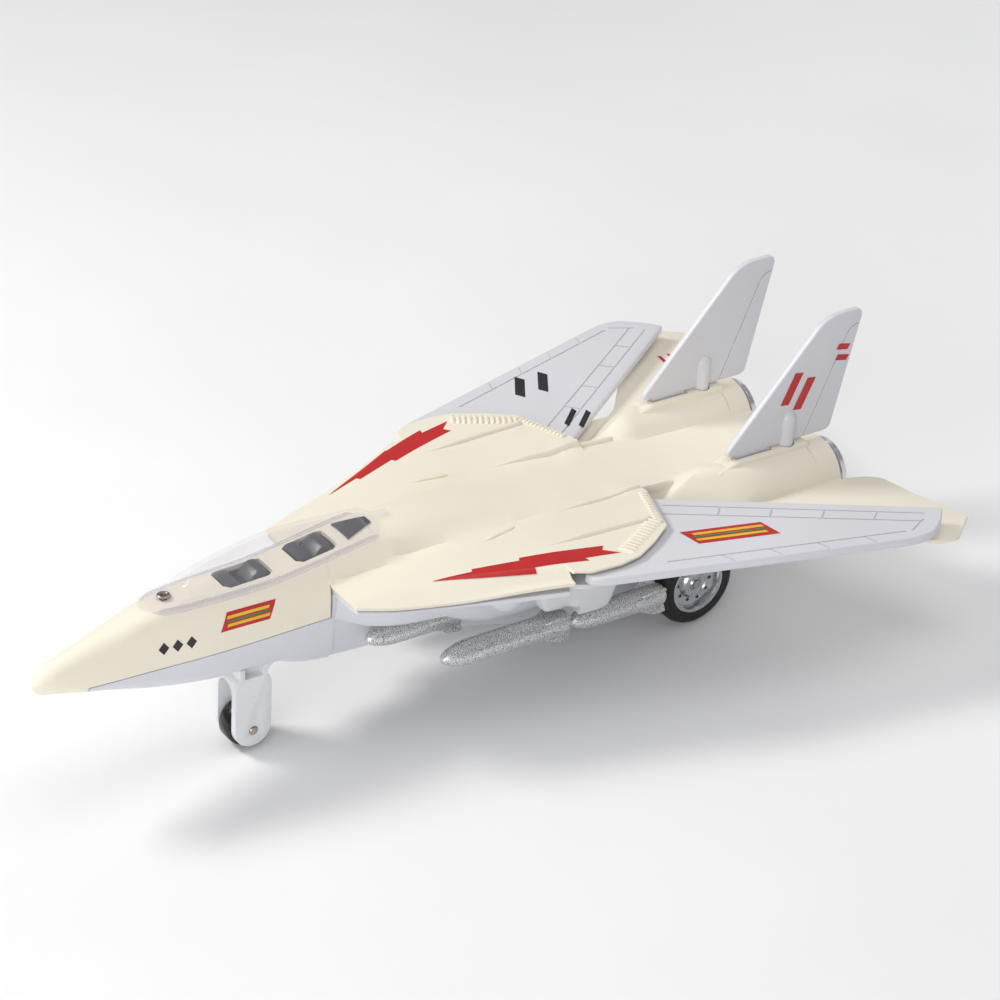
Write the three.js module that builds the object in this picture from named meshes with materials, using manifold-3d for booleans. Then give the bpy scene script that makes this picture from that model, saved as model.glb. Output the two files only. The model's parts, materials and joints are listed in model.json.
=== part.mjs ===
// Toy swing-wing jet: a die-cast upper shell screwed to a moulded belly, with two
// sweeping wings geared together, twin fins, missiles, a free nose wheel, and a
// pull-back spring motor that drives the rear wheels.
//
// Millimetres. +X points to the nose, +Y to port, +Z up, and the toy stands on
// Z = 0 with the origin under the middle of its outline. The airframe is drawn
// level in one group, which is then pitched nose-up until its wheels meet the
// ground. Inside that group a "station" is the distance aft of the nose tip, so
// x = -station.
import * as THREE from "three";
import { mergeVertices } from "three/addons/utils/BufferGeometryUtils.js";
import Module from "manifold-3d";

const wasm = await Module();
wasm.setup();

// ---------------------------------------------------------------- dimensions
const GAP = 0.3;                    // air between pieces that touch
const WALL = 1.1;                   // thickness of the upper shell
const BELLY_WALL = 1.6;
const OUTLINE_MIDDLE = 115.4;       // how far the nose tip lies ahead of the origin

// Wheels: station, height in the level airframe, radius.
const REAR = { station: 172.7, z: 19.0, tyre: 11.2, rim: 7.6, inner: 14.2, outer: 21.4 };
const NOSE = { station: 54.5, z: 5.5, tyre: 5.6, half: 2.6 };
const AXLE_RADIUS = 1.25;
const SHAFT_GAP = 0.1;

// Glove: the broad fixed root that the wings slide out of.
const GLOVE_FRONT = 72;
const COVER_FRONT = 120.3;
const COVER_REAR = 158;
const TAIL_END = 211;
const FLOOR_BOTTOM = 39.8;
const COVER_WALL = 0.9;             // the cover is thinner, to leave room for the wings
const AFT_WALL = 1.2;
const AFT_DECK = 42.2;              // height of the deck and tailplanes behind the wings
const AFT_RIM = 41;

// Wing plane, at the pivot, and its slope outboard.
const PIVOT = { station: 137, y: 30 };
const WING_TOP = 45.9;
const WING_THICK = 2.4;
const DIHEDRAL = THREE.MathUtils.degToRad(1.7);
const HUB_RADIUS = 7;
const BOSS_RADIUS = 4.2;
const POST_RADIUS = 2.6;

// Sector gears that make the wings sweep together.
const SECTOR = { module: 1.5, teeth: 40, thick: 1.4, cut: 8 };

// Nacelles and nozzles.
const NACELLE = { y: 18, z: 40, radius: 9.6 };
const FIN_Y = 17.2;
const FIN_THICK = 1.8;

const RIVET = { station: 33.3, shank: 0.8, head: 1.6 };   // closes the canopy's front

// Pull-back motor: spur gears of one module, in a box of two halves.
const GEAR_MODULE = 0.7;
const TEETH = { pinion: 10, crown: 24, small: 10, spring: 28 };
const IDLER_BEARING = THREE.MathUtils.degToRad(60);     // from the axle, up and forward
const SPRING_BEARING = THREE.MathUtils.degToRad(-10);   // from the idler
const CASE = { front: 141.6, rear: 179.4, bottom: 13.5, top: 39.9, half: 9.2, wall: 1 };
const GEAR_LAYER = { crown: [-6.2, -4.4], spring: [-3.6, -1.6], coil: [-1.0, 5.8] };

// ---------------------------------------------------------------- materials
const paint = (colour, roughness, metalness = 0) =>
  new THREE.MeshStandardMaterial({ color: colour, roughness, metalness });
const CREAM = paint(0xf1ead6, 0.55);
const LILAC = paint(0xdcdde8, 0.45);
const BELLY = paint(0xd3d7e0, 0.35);
const WHITE = paint(0xe6e7ec, 0.35);
const CLEAR = paint(0xd8d6de, 0.08);
const DARK = paint(0x55595e, 0.5);
const BLACK = paint(0x141414, 0.45);
const CHROME = paint(0xc4c6ca, 0.18, 1);
const SILVER = paint(0x9a9b9d, 0.4, 0.8);
const STEEL = paint(0x8d9094, 0.35, 1);
const BRASS = paint(0xb9a77f, 0.35, 1);
const NYLON = paint(0xf0efe8, 0.5);

// ------------------------------------------------------------------- helpers
// A smooth function through a few [station, value] pairs.
function along(...pairs) {
  const slope = (i) => {
    const a = pairs[Math.max(i - 1, 0)];
    const b = pairs[Math.min(i + 1, pairs.length - 1)];
    return (b[1] - a[1]) / (b[0] - a[0]);
  };
  return (station) => {
    const s = THREE.MathUtils.clamp(station, pairs[0][0], pairs.at(-1)[0]);
    const i = Math.max(pairs.findIndex((pair) => pair[0] >= s) - 1, 0);
    const [s0, v0] = pairs[i];
    const [s1, v1] = pairs[i + 1];
    const span = s1 - s0;
    const t = (s - s0) / span;
    const ease = t * t * (3 - 2 * t);
    const lean = slope(i) * t * (1 - t) ** 2 - slope(i + 1) * t * t * (1 - t);
    return v0 + (v1 - v0) * ease + lean * span;
  };
}

const range = (from, to, count) =>
  Array.from({ length: count + 1 }, (_, i) => from + ((to - from) * i) / count);

const smoothStep = THREE.MathUtils.smoothstep;
function smoothMax(a, b, blend) {
  const t = THREE.MathUtils.clamp(0.5 + (a - b) / (2 * blend), 0, 1);
  return b + (a - b) * t + blend * t * (1 - t);
}
const smoothMin = (a, b, blend) => -smoothMax(-a, -b, blend);

function signedVolume(points, triangles) {
  let sum = 0;
  const corner = (i) => new THREE.Vector3(...points.subarray(3 * i, 3 * i + 3));
  for (let i = 0; i < triangles.length; i += 3) {
    const [a, b, c] = [0, 1, 2].map((k) => corner(triangles[i + k]));
    sum += a.dot(b.cross(c));
  }
  return sum;
}

// A closed three.js geometry as a solid that can be joined and cut.
function solid(geometry) {
  geometry.deleteAttribute("normal");
  geometry.deleteAttribute("uv");
  const merged = mergeVertices(geometry, 1e-4);
  const index = merged.index.array;
  const kept = [];
  for (let i = 0; i < index.length; i += 3) {
    const [a, b, c] = [index[i], index[i + 1], index[i + 2]];
    if (a !== b && b !== c && c !== a) kept.push(a, b, c);
  }
  const vertProperties = Float32Array.from(merged.attributes.position.array);
  const inward = signedVolume(vertProperties, kept) < 0;
  const triVerts = Uint32Array.from(inward ? kept.reverse() : kept);
  return new wasm.Manifold(new wasm.Mesh({ numProp: 3, vertProperties, triVerts }));
}

const join = (...solids) => solids.reduce((sum, next) => sum.add(next));
const cut = (body, ...tools) => tools.reduce((rest, tool) => rest.subtract(tool), body);

function mesh(name, body, material) {
  const { vertProperties, triVerts } = body.getMesh();
  const geometry = new THREE.BufferGeometry();
  geometry.setAttribute("position", new THREE.BufferAttribute(vertProperties, 3));
  geometry.setIndex(new THREE.BufferAttribute(triVerts, 1));
  geometry.computeVertexNormals();
  const result = new THREE.Mesh(geometry, material);
  result.name = name;
  return result;
}

// Faces that close a ring by zipping its first half to its second half.
function capFaces(count) {
  const faces = [];
  for (let i = 0; i < Math.floor((count - 1) / 2); i += 1) {
    const across = count - 1 - i;
    faces.push([i, i + 1, across]);
    if (across - 1 > i + 1) faces.push([i + 1, across - 1, across]);
  }
  return faces;
}

// Skin through rings of [x, y, z] points, closed at both ends.
function loft(rings) {
  const count = rings[0].length;
  const faces = [];
  for (let r = 0; r + 1 < rings.length; r += 1) {
    for (let i = 0; i < count; i += 1) {
      const near = [r * count + i, r * count + ((i + 1) % count)];
      const far = near.map((k) => k + count);
      faces.push(near[0], near[1], far[1], near[0], far[1], far[0]);
    }
  }
  const last = (rings.length - 1) * count;
  capFaces(count).forEach(([a, b, c]) => {
    faces.push(c, b, a);
    faces.push(a + last, b + last, c + last);
  });
  const geometry = new THREE.BufferGeometry();
  geometry.setAttribute("position", new THREE.Float32BufferAttribute(rings.flat(2), 3));
  geometry.setIndex(faces);
  return solid(geometry);
}

// Outlines of [station, y] extruded upward, or of [station, z] extruded across.
function shapeOf(outline) {
  return outline instanceof THREE.Shape
    ? outline
    : new THREE.Shape(outline.map(([station, v]) => new THREE.Vector2(-station, v)));
}
function extrude(outline, depth, curveSegments = 8) {
  return new THREE.ExtrudeGeometry(shapeOf(outline), { depth, bevelEnabled: false, curveSegments });
}
function planPrism(outline, low, high, curveSegments) {
  return solid(extrude(outline, high - low, curveSegments).translate(0, 0, low));
}
function sidePrism(outline, near, far, curveSegments) {
  const geometry = extrude(outline, far - near, curveSegments).rotateX(Math.PI / 2);
  return solid(geometry.translate(0, far, 0));
}

// Boxes and rods by their limits, in stations.
function box(stations, ys, zs) {
  const size = [stations, ys, zs].map(([low, high]) => high - low);
  const middle = [stations, ys, zs].map(([low, high]) => (high + low) / 2);
  return solid(new THREE.BoxGeometry(...size).translate(-middle[0], middle[1], middle[2]));
}
function uprightRod(radius, station, y, low, high, sides = 20) {
  const rod = new THREE.CylinderGeometry(radius, radius, high - low, sides).rotateX(Math.PI / 2);
  return solid(rod.translate(-station, y, (low + high) / 2));
}
function crossRod(radius, station, z, near, far, sides = 20) {
  const rod = new THREE.CylinderGeometry(radius, radius, far - near, sides);
  return solid(rod.translate(-station, (near + far) / 2, z));
}
// A [radius, distance] profile turned about a line through (y, z) along the stations.
function turnedAlong(profile, y, z, sides = 20) {
  const points = profile.map(([radius, station]) => new THREE.Vector2(radius, station));
  const lathe = new THREE.LatheGeometry(points, sides).rotateZ(Math.PI / 2);
  return solid(lathe.translate(0, y, z));
}
// The same about the crosswise line through (station, z).
function turnedAcross(profile, station, z, sides = 20) {
  const points = profile.map(([radius, y]) => new THREE.Vector2(radius, y));
  return solid(new THREE.LatheGeometry(points, sides).translate(-station, 0, z));
}

// ------------------------------------------------------- lines of the airframe
const seamZ = along([11, 31.3], [27, 31.8], [52, 32.5], [74, 34]);
const topZ = along([0, 34.2], [2, 35.9], [5, 37.4], [18, 41.9], [30, 45.4], [47, 46.4], [60, 46.9],
  [72, 48.6], [85, 50.6], [96, 51.2], [110, 50.4], [130, 48.5], [150, 46.5], [170, 45.2], [207, 44.2]);
const keelZ = along([0, 30.8], [2, 30.1], [5, 29.7], [12, 28.8], [28, 25.4], [42, 23.5], [59, 23.2], [66, 21],
  [75, 20], [98, 19.4], [117, 16.6], [138, 12.2], [165, 11.9], [182, 12], [192, 20], [206, 33]);
const bodyHalf = along([0, 1.5], [2, 2.5], [5, 3.6], [12, 5], [27, 6.4], [40, 7.5], [52, 8.1], [65, 8.9],
  [74, 9.6], [100, 11], [130, 11.9], [188, 11.9], [206, 9]);
const bellySquare = along([0, 2], [14, 2.1], [30, 3.4], [74, 4], [110, 4.4], [136, 8], [184, 8], [200, 4]);
const squareness = along([0, 2], [12, 2.15], [30, 3.2], [60, 3.6], [74, 3.4], [100, 2.2], [TAIL_END, 2.2]);

const gloveEdgeY = along([72, 20.5], [80, 24.2], [91, 28.3], [102, 32.2], [112, 36], [120, 39.4]);
const gloveEdgeZ = along([72, 42.3], [80, 41.9], [91, 42], [102, 42.4], [112, 43], [120, 43.6]);
const gloveTopZ = along([72, 42.9], [80, 44], [90, 45.2], [100, 46.2], [112, 47.1], [122, 47.6],
  [152, 47.6], [158, 47.4]);
const bevelSlope = along([72, 0.5], [90, 0.6], [120, 1.1]);
const coverEdgeY = (station) => {
  const corners = [[COVER_FRONT, 38.4], [124, 40.6], [132, 41.2], [138, 40.2], [145, 36.6], [152, 31.9],
    [COVER_REAR, 16]];
  const i = Math.max(corners.findIndex(([s]) => s >= station) - 1, 0);
  const [[s0, y0], [s1, y1]] = [corners[i], corners[i + 1]];
  return y0 + ((y1 - y0) * (station - s0)) / (s1 - s0);
};
const wingTopZ = (y) => WING_TOP + (Math.abs(y) - PIVOT.y) * Math.tan(DIHEDRAL);
const wingBottomZ = (y) => wingTopZ(y) - WING_THICK;

// Height of the spine over the glove, which rises from inside the glove's sheet.
const spineBase = along([72, 34], [84, 38.5], [100, 42.5], [130, 45.6], [150, 45.4], [158, 45.2]);
function spineHeight(station, y) {
  const across = Math.abs(y) / bodyHalf(station);
  if (across >= 1) return spineBase(station);
  const n = squareness(station);
  const rise = topZ(station) - spineBase(station);
  return spineBase(station) + rise * (1 - across ** n) ** (1 / n);
}
// Top of the glove and cover: a sheet that bevels down to its leading edge, with a
// shallow valley beside the spine.
function deckHeight(station, y) {
  const off = Math.abs(y);
  const fade = smoothStep(station, 108, 125) * (1 - smoothStep(station, 148, 156));
  const valley = 1.2 * Math.exp(-(((off - 11.5) / 3) ** 2)) * fade;
  const middle = Math.min(gloveTopZ(station), topZ(station));
  let sheet = middle + (gloveTopZ(station) - middle) * smoothStep(off, 9, 15) - valley;
  if (station <= 120) {
    const bevel = gloveEdgeZ(station) + (gloveEdgeY(station) - off) * bevelSlope(station);
    sheet = smoothMin(sheet, bevel, 0.5);
  }
  return smoothMax(spineHeight(station, y), sheet, 0.8);
}

// Aft deck: low under the wings, with a hump over each engine behind them.
const WING_TRAIL = 0.675;           // trailing edge: how fast it runs outboard
function aftHeight(station, y) {
  const off = Math.abs(y);
  const spine = AFT_DECK + (topZ(station) - AFT_DECK) * (1 - smoothStep(off, 12.6, 15.6));
  const start = COVER_REAR + 2.5 + Math.max(off - 16, 0) / WING_TRAIL;
  const across = Math.min(Math.abs(off - NACELLE.y) / NACELLE.radius, 1);
  const hump = NACELLE.z + NACELLE.radius * Math.sqrt(1 - across ** 2);
  const grown = AFT_DECK + Math.max(hump - AFT_DECK, 0) * smoothStep(station, start, start + 15);
  return smoothMax(spine, grown, 0.6);
}

// ------------------------------------------------------------------ sections
const halfTurn = (count) => range(-Math.PI / 2, Math.PI / 2, count);
const power = (value, exponent) => Math.sign(value) * Math.abs(value) ** exponent;

// Half of a rounded-square section, above (up = 1) or below (up = -1) a height.
function arch(station, half, base, rise, up, n, count) {
  return halfTurn(count).map((angle) => [
    -station,
    half * power(Math.sin(angle), 2 / n),
    base + up * rise * power(Math.cos(angle), 2 / n),
  ]);
}
const NOSE_SIDES = 8;
function noseRing(station) {
  const seam = seamZ(station);
  const [half, n] = [bodyHalf(station), squareness(station)];
  const over = arch(station, half, seam, topZ(station) - seam, 1, n, NOSE_SIDES);
  const under = arch(station, half - WALL, seam, topZ(station) - seam - WALL, 1, n, NOSE_SIDES);
  return [...over, ...under.reverse()];
}
// The cone's sections shrink to a small blunt end over the last stretch of the tip.
const TIP = { length: 2, end: 0.25 };
function coneRing(station) {
  const left = 1 - Math.min(station / TIP.length, 1);
  const share = Math.max(Math.sqrt(1 - left ** 2), TIP.end);
  const middle = (topZ(station) + keelZ(station)) / 2;
  const tall = share * (topZ(station) - keelZ(station)) / 2;
  const count = 2 * NOSE_SIDES;
  return range(0, 2 * Math.PI, count).slice(0, count).map((angle) =>
    [-station, share * bodyHalf(station) * Math.sin(angle), middle + tall * Math.cos(angle)]);
}
// A sheet of the given height over both sides, with its inner face a wall below.
const SHEET_STEPS = [0, 0.15, 0.28, 0.4, 0.55, 0.75, 0.92, 1];
function sheetRing(station, edge, height, rim, thick) {
  const steps = [...SHEET_STEPS.slice(1).reverse().map((v) => -v), ...SHEET_STEPS];
  const over = steps.map((v) => [-station, v * edge, height(station, v * edge)]);
  const under = steps.map((v) => {
    const y = v * (edge - 0.4);
    return [-station, y, Math.max(height(station, y) - thick, rim)];
  });
  return [...over, ...under.reverse()];
}

// --------------------------------------------------------------- upper shell
function noseShell() {
  const stations = [11.6, 18, 26, 36, 48, 60, GLOVE_FRONT + 0.3];
  return loft(stations.map(noseRing));
}
function noseCone() {
  const stations = [0, 0.15, 0.5, 1.1, TIP.length, 4, 7.5, 11.7];
  return loft(stations.map(coneRing));
}
function gloveShell() {
  const stations = range(GLOVE_FRONT, COVER_FRONT, 7);
  return loft(stations.map((s) => {
    const last = Math.min(s, 120);
    return sheetRing(s, gloveEdgeY(last), deckHeight, gloveEdgeZ(last) - 0.9, WALL);
  }));
}
function coverShell() {
  const stations = [COVER_FRONT - 0.2, 124, 132, 138, 145, 152, 155, COVER_REAR];
  return loft(stations.map((s) =>
    sheetRing(s, coverEdgeY(Math.max(s, COVER_FRONT)), deckHeight, 0, COVER_WALL)));
}
function aftShell() {
  const stations = [COVER_REAR - 0.4, 163, 168, 173, 179, 188, TAIL_END];
  const edge = NACELLE.y + NACELLE.radius;
  return loft(stations.map((s) => sheetRing(s, edge, aftHeight, AFT_RIM, AFT_WALL)));
}

function tailplaneOutline(side) {
  const shape = new THREE.Shape();
  const to = (station, y) => [-station, side * y];
  shape.moveTo(...to(176, 26));
  shape.lineTo(...to(183, 31));
  shape.lineTo(...to(209, 60.6));
  shape.quadraticCurveTo(...to(213, 64.6), ...to(218, 63.8));
  shape.lineTo(...to(226.4, 57.6));
  shape.lineTo(...to(225, 50.5));
  shape.quadraticCurveTo(...to(223.6, 47), ...to(222.4, 42));
  shape.lineTo(...to(220.8, 33));
  shape.quadraticCurveTo(...to(219.6, 29.6), ...to(213, 27.8));
  shape.lineTo(...to(207.4, 27.1));
  shape.lineTo(...to(207.4, 24));
  return shape;
}
const tailplane = (side) => planPrism(tailplaneOutline(side), AFT_RIM, AFT_DECK, 3);

function finFairing(side) {
  const outline = [[181.2, 46.5], [182.6, 50.6], [205.6, 50.6], [206.4, 47]];
  const y = side * FIN_Y;
  return sidePrism(outline, y - 2.8, y + 2.8);
}
function finSlots(side) {
  const y = side * FIN_Y;
  return join(
    box([183.2, 194.2], [y - FIN_THICK / 2 - GAP, y + FIN_THICK / 2 + GAP], [40.5, 52]),
    uprightRod(FIN_POST.radius + GAP, FIN_POST.station, y, FIN_POST.foot - 0.6, 52, 16),
  );
}

// Screw posts hang from the upper shell, and each one takes a screw from below.
const SCREWS = [
  { name: "port_pivot_screw", station: PIVOT.station, y: PIVOT.y, seat: 40.3, foot: 41.8 },
  { name: "starboard_pivot_screw", station: PIVOT.station, y: -PIVOT.y, seat: 40.3, foot: 41.8 },
  { name: "front_body_screw", station: 100, y: 0, seat: 21.8, foot: 24 },
  { name: "tail_body_screw", station: 186.5, y: 0, seat: 17.4, foot: 20 },
];
const SCREW = { shank: 1.1, head: 2.3, headTall: 1.3, grip: 5 };
function screwPosts() {
  return SCREWS.map(({ station, y, foot }) => {
    const roof = station < COVER_REAR ? deckHeight(station, y) : aftHeight(station, y);
    return cut(
      uprightRod(POST_RADIUS, station, y, foot, roof - 0.5, 16),
      uprightRod(SCREW.shank + GAP, station, y, foot - 1, Math.min(foot + SCREW.grip, roof - 1.2), 12),
    );
  });
}

// The canopy deck has two open cockpits, and the rivet's hole ahead of them.
const COCKPITS = [{ from: 47, to: 60, half: 4, top: 48.4 }, { from: 66, to: 77, half: 4.4, top: 50.4 }];
function cockpitOpenings() {
  return join(...COCKPITS.map(({ from, to, half }) => box([from, to], [-half, half], [42, 56])));
}

function upperBody() {
  const skin = join(noseCone(), noseShell(), gloveShell(), coverShell(), aftShell(),
    tailplane(1), tailplane(-1), finFairing(1), finFairing(-1), ...screwPosts());
  return cut(skin, cockpitOpenings(), uprightRod(RIVET.shank + GAP, RIVET.station, 0, 40, 50, 12),
    finSlots(1), finSlots(-1), sectorSweep(1), sectorSweep(-1));
}

// --------------------------------------------------------------------- wings
// Wing outlines are drawn about the pivot, port side, swept back at rest.
const fromPivot = (station, y) => [PIVOT.station - station, y - PIVOT.y];
function wingOutline() {
  const shape = new THREE.Shape();
  shape.moveTo(...fromPivot(122.9, 38.6));
  shape.quadraticCurveTo(...fromPivot(122.4, 41.6), ...fromPivot(127, 43.4));
  shape.lineTo(...fromPivot(198, 64));
  shape.quadraticCurveTo(...fromPivot(205.5, 66.3), ...fromPivot(209.5, 64));
  shape.quadraticCurveTo(...fromPivot(215, 60.5), ...fromPivot(218, 56.6));
  shape.lineTo(...fromPivot(158.6, 16.4));
  shape.quadraticCurveTo(...fromPivot(156.5, 15.2), ...fromPivot(154, 17));
  shape.lineTo(...fromPivot(140, 22));
  shape.absarc(0, 0, 9, -Math.PI / 2, Math.PI / 4, false);
  return shape;
}
function mirrored(shape, curveSegments = 6) {
  const points = shape.getPoints(curveSegments).map((p) => new THREE.Vector2(p.x, -p.y));
  return new THREE.Shape(points.reverse());
}

// A toothed wheel or sector: trapezium teeth, thin enough to run with backlash.
function toothedPoints(module, teeth, phase, first, count) {
  const radius = (module * teeth) / 2;
  const pitch = (2 * Math.PI) / teeth;
  const flanks = [[-0.33, -1.25], [-0.13, 0.9], [0.13, 0.9], [0.33, -1.25]];
  return range(first, first + count - 1, count - 1).flatMap((tooth) =>
    flanks.map(([turn, step]) => {
      const angle = phase + (tooth + turn) * pitch;
      const r = radius + step * module;
      return new THREE.Vector2(r * Math.cos(angle), r * Math.sin(angle));
    }));
}
// Teeth of the port sector stand on the line between the pivots, and the
// starboard sector has a gap there.
function sectorShape(side) {
  const phase = -Math.PI / 2 + (side < 0 ? Math.PI / SECTOR.teeth : 0);
  const teeth = toothedPoints(SECTOR.module, SECTOR.teeth, phase, -1, SECTOR.cut);
  const shape = new THREE.Shape([...teeth, ...arcPoints(HUB_RADIUS - 1, -25, -105, 4)]);
  return side < 0 ? mirrored(shape) : shape;
}
function arcPoints(radius, from, to, count) {
  return range(from, to, count).map((degrees) => {
    const angle = THREE.MathUtils.degToRad(degrees);
    return new THREE.Vector2(radius * Math.cos(angle), radius * Math.sin(angle));
  });
}
// Room for a sector through its whole travel, in airframe coordinates.
function sectorSweep(side) {
  const pie = new THREE.Shape([new THREE.Vector2(0, 0), ...arcPoints(32.4, -155, -23, 12)]);
  const outline = side < 0 ? mirrored(pie) : pie;
  const low = WING_TOP - WING_THICK - SECTOR.thick - GAP;
  const geometry = extrude(outline, SECTOR.thick + 2 * GAP).rotateX(side * DIHEDRAL);
  const sweep = solid(geometry.translate(-PIVOT.station, side * PIVOT.y, low));
  const hub = uprightRod(HUB_RADIUS + GAP, PIVOT.station, side * PIVOT.y, low - 0.2, low + 2, 24);
  return join(sweep, hub);
}
function wing(side) {
  const outline = side < 0 ? mirrored(wingOutline()) : wingOutline();
  const low = -WING_THICK - SECTOR.thick;
  const plate = solid(extrude(outline, WING_THICK, 6).translate(0, 0, -WING_THICK));
  const sector = solid(extrude(sectorShape(side), SECTOR.thick + 0.2).translate(0, 0, low));
  const hub = uprightRod(HUB_RADIUS, 0, 0, low, 0, 24);
  const bore = uprightRod(BOSS_RADIUS + GAP, 0, 0, low - 1, 1, 24);
  return cut(join(plate, sector, hub), bore);
}
function wingGroup(name, side) {
  const group = new THREE.Group();
  group.add(mesh(name, wing(side), LILAC));
  group.position.set(-PIVOT.station, side * PIVOT.y, WING_TOP);
  group.rotation.x = side * DIHEDRAL;
  return group;
}

// ---------------------------------------------------------------- lower body
// A tub from the keel up to a roof, as wide as the body unless told otherwise.
function bellyLoft(stations, top, half = bodyHalf) {
  return loft(stations.map((s) => {
    const roof = top(s);
    return arch(s, half(s), roof, roof - keelZ(s), -1, bellySquare(s), 6);
  }));
}
const NACELLE_LINES = {
  middle: along([73, 8.4], [80, 12], [92, 14.4], [150, 14.8], [180, NACELLE.y], [TAIL_END, NACELLE.y]),
  half: along([73, 2.4], [80, 4.8], [92, 6], [150, 6.2], [175, 8.4], [190, NACELLE.radius],
    [TAIL_END, NACELLE.radius]),
  bottom: along([73, 33], [80, 31.6], [97, 31], [104, 28], [112, 25.4], [145, 25.6], [156, 31.4],
    [186, 31.6], [TAIL_END, 30.6]),
  square: along([73, 3], [92, 4.5], [150, 4], [186, 2.4], [TAIL_END, 2]),
};
function nacelle(side) {
  const stations = [73, 80, 92, 104, 112, 145, 156, 170, 188, TAIL_END - GAP];
  return loft(stations.map((s) => {
    const roof = s > COVER_REAR ? 40.6 : 40.4;
    const rise = roof - NACELLE_LINES.bottom(s);
    const ring = arch(s, NACELLE_LINES.half(s), roof, rise, -1, NACELLE_LINES.square(s), 6);
    return ring.map(([x, y, z]) => [x, side * NACELLE_LINES.middle(s) + y, z]);
  }));
}
// The floor under the glove ends in a lip just inside the glove's edge, and runs
// on under the wings to the tail.
function floorPlate() {
  const front = range(GLOVE_FRONT + 0.6, 119.6, 4).map((s) => {
    const edge = gloveEdgeY(s) - 0.5;
    const top = gloveEdgeZ(s) - 1.2;
    const rim = Math.max(top - 1.3, FLOOR_BOTTOM + 0.1);
    return [[-s, -edge + 3, FLOOR_BOTTOM], [-s, edge - 3, FLOOR_BOTTOM], [-s, edge, rim], [-s, edge, top],
      [-s, -edge, top], [-s, -edge, rim]];
  });
  const rear = [[119.4, 36.6], [132, 39.4], [140, 38], [152, 30.6], [157.2, 28.4]].map(([s, edge]) => {
    const high = wingBottomZ(edge) - 0.4;
    const low = wingBottomZ(0) - 0.4;
    return [[-s, -edge, FLOOR_BOTTOM], [-s, 0, FLOOR_BOTTOM], [-s, edge, FLOOR_BOTTOM],
      [-s, edge, high], [-s, 0, low], [-s, -edge, high]];
  });
  return join(loft(front), loft(rear));
}
// A flat pad under the motor, where a display stand can hold the toy.
const PAD = { from: 148, to: 166, half: 6, face: 11 };
const bellyPad = () => box([PAD.from, PAD.to], [-PAD.half, PAD.half], [PAD.face, 13]);

// A small half-round fairing ahead of each missile rack.
function blister(side) {
  const ball = new THREE.SphereGeometry(1, 12, 8).scale(6, 3.4, 6).translate(-111, side * 26, 39.2);
  return solid(ball);
}
function pivotBoss(side) {
  return uprightRod(BOSS_RADIUS, PIVOT.station, side * PIVOT.y, 37.6, WING_TOP - 0.2, 24);
}
function screwHoles() {
  return SCREWS.flatMap(({ station, y, seat, foot }) => [
    uprightRod(SCREW.head + GAP, station, y, seat - 14, seat, 14),
    uprightRod(SCREW.shank + GAP, station, y, seat - 1, foot + 1, 12),
    uprightRod(POST_RADIUS + GAP, station, y, foot - GAP, foot + 20, 16),
  ]);
}
function screwTubes() {
  return SCREWS.filter(({ y }) => y === 0).map(({ station, seat, foot }) =>
    uprightRod(4, station, 0, seat - 2, foot + 4, 16));
}
function lowerBody() {
  const front = bellyLoft([12, 20, 30, 42, 54, 64, 73], (s) => seamZ(s) - 0.25);
  const rear = bellyLoft([GLOVE_FRONT + 0.6, 82, 98, 110, 122, 140, 165, 182, 192, 206], () => 40.2);
  const inside = (s) => bodyHalf(s) - BELLY_WALL;
  const hollow = bellyLoft([20, 42, 60, 72, 98, 120, 138], () => 46, inside);
  const lifted = hollow.translate([0, 0, BELLY_WALL]);
  const bay = box([CASE.front - 0.4, CASE.rear + 0.4], [-CASE.half - 0.4, CASE.half + 0.4],
    [CASE.bottom - GAP, 60]);
  const tailHollow = box([182, 191], [-8, 8], [22, 60]);
  const shell = cut(join(front, rear, nacelle(1), nacelle(-1), floorPlate(), bellyPad(), blister(1),
    blister(-1)),
    lifted, bay, tailHollow);
  return cut(join(shell, ...screwTubes(), pivotBoss(1), pivotBoss(-1)),
    ...screwHoles(), sectorSweep(1).subtract(pivotBoss(1)), sectorSweep(-1).subtract(pivotBoss(-1)),
    crossRod(AXLE_RADIUS + 0.5, REAR.station, REAR.z, -30, 30),
    nozzleSocket(1), nozzleSocket(-1), ...missileRoom());
}

// ------------------------------------------------------------- small castings
function canopyRivet() {
  const top = canopyTopZ(RIVET.station);
  return join(
    uprightRod(RIVET.shank, RIVET.station, 0, 42.6, top + 0.1, 12),
    uprightRod(RIVET.head, RIVET.station, 0, top, top + 0.7, 16),
  );
}

const canopyTopZ = along([27, 45.6], [RIVET.station, 47], [36, 47.9], [41, 50.4], [51, 53.3], [61, 55],
  [70, 54.9], [80, 54], [88, 52.7], [93, 51.9]);
const canopyHalf = along([27, 1.2], [29.5, 3.6], [34, 4.7], [42, 5.4], [55, 6], [75, 6.3], [84, 6.2],
  [87.6, 5.4], [88.6, 1.9], [93, 1.2]);
const fuselageTop = (station, y) => {
  if (station >= GLOVE_FRONT) return deckHeight(station, y);
  const across = Math.abs(y) / bodyHalf(station);
  const n = squareness(station);
  return seamZ(station) + (topZ(station) - seamZ(station)) * (1 - across ** n) ** (1 / n);
};
function canopyRing(station, inset) {
  const half = Math.max(canopyHalf(station) - inset, 0.4);
  const top = canopyTopZ(station) - inset;
  const steps = range(-1, 1, 8);
  const seat = (y) => fuselageTop(station, y) + GAP - (inset ? 1.5 : 0);
  const over = steps.map((v) => {
    const y = half * Math.sin((v * Math.PI) / 2);
    const brim = seat(half) + (inset ? 0 : 0.7);
    return [-station, y, brim + Math.max(top - brim, 0.3) * Math.cos((v * Math.PI) / 2) ** 0.8];
  });
  const under = steps.map((v) => [-station, half * v, seat(half * v)]);
  return [...over, ...under.reverse()];
}
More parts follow.
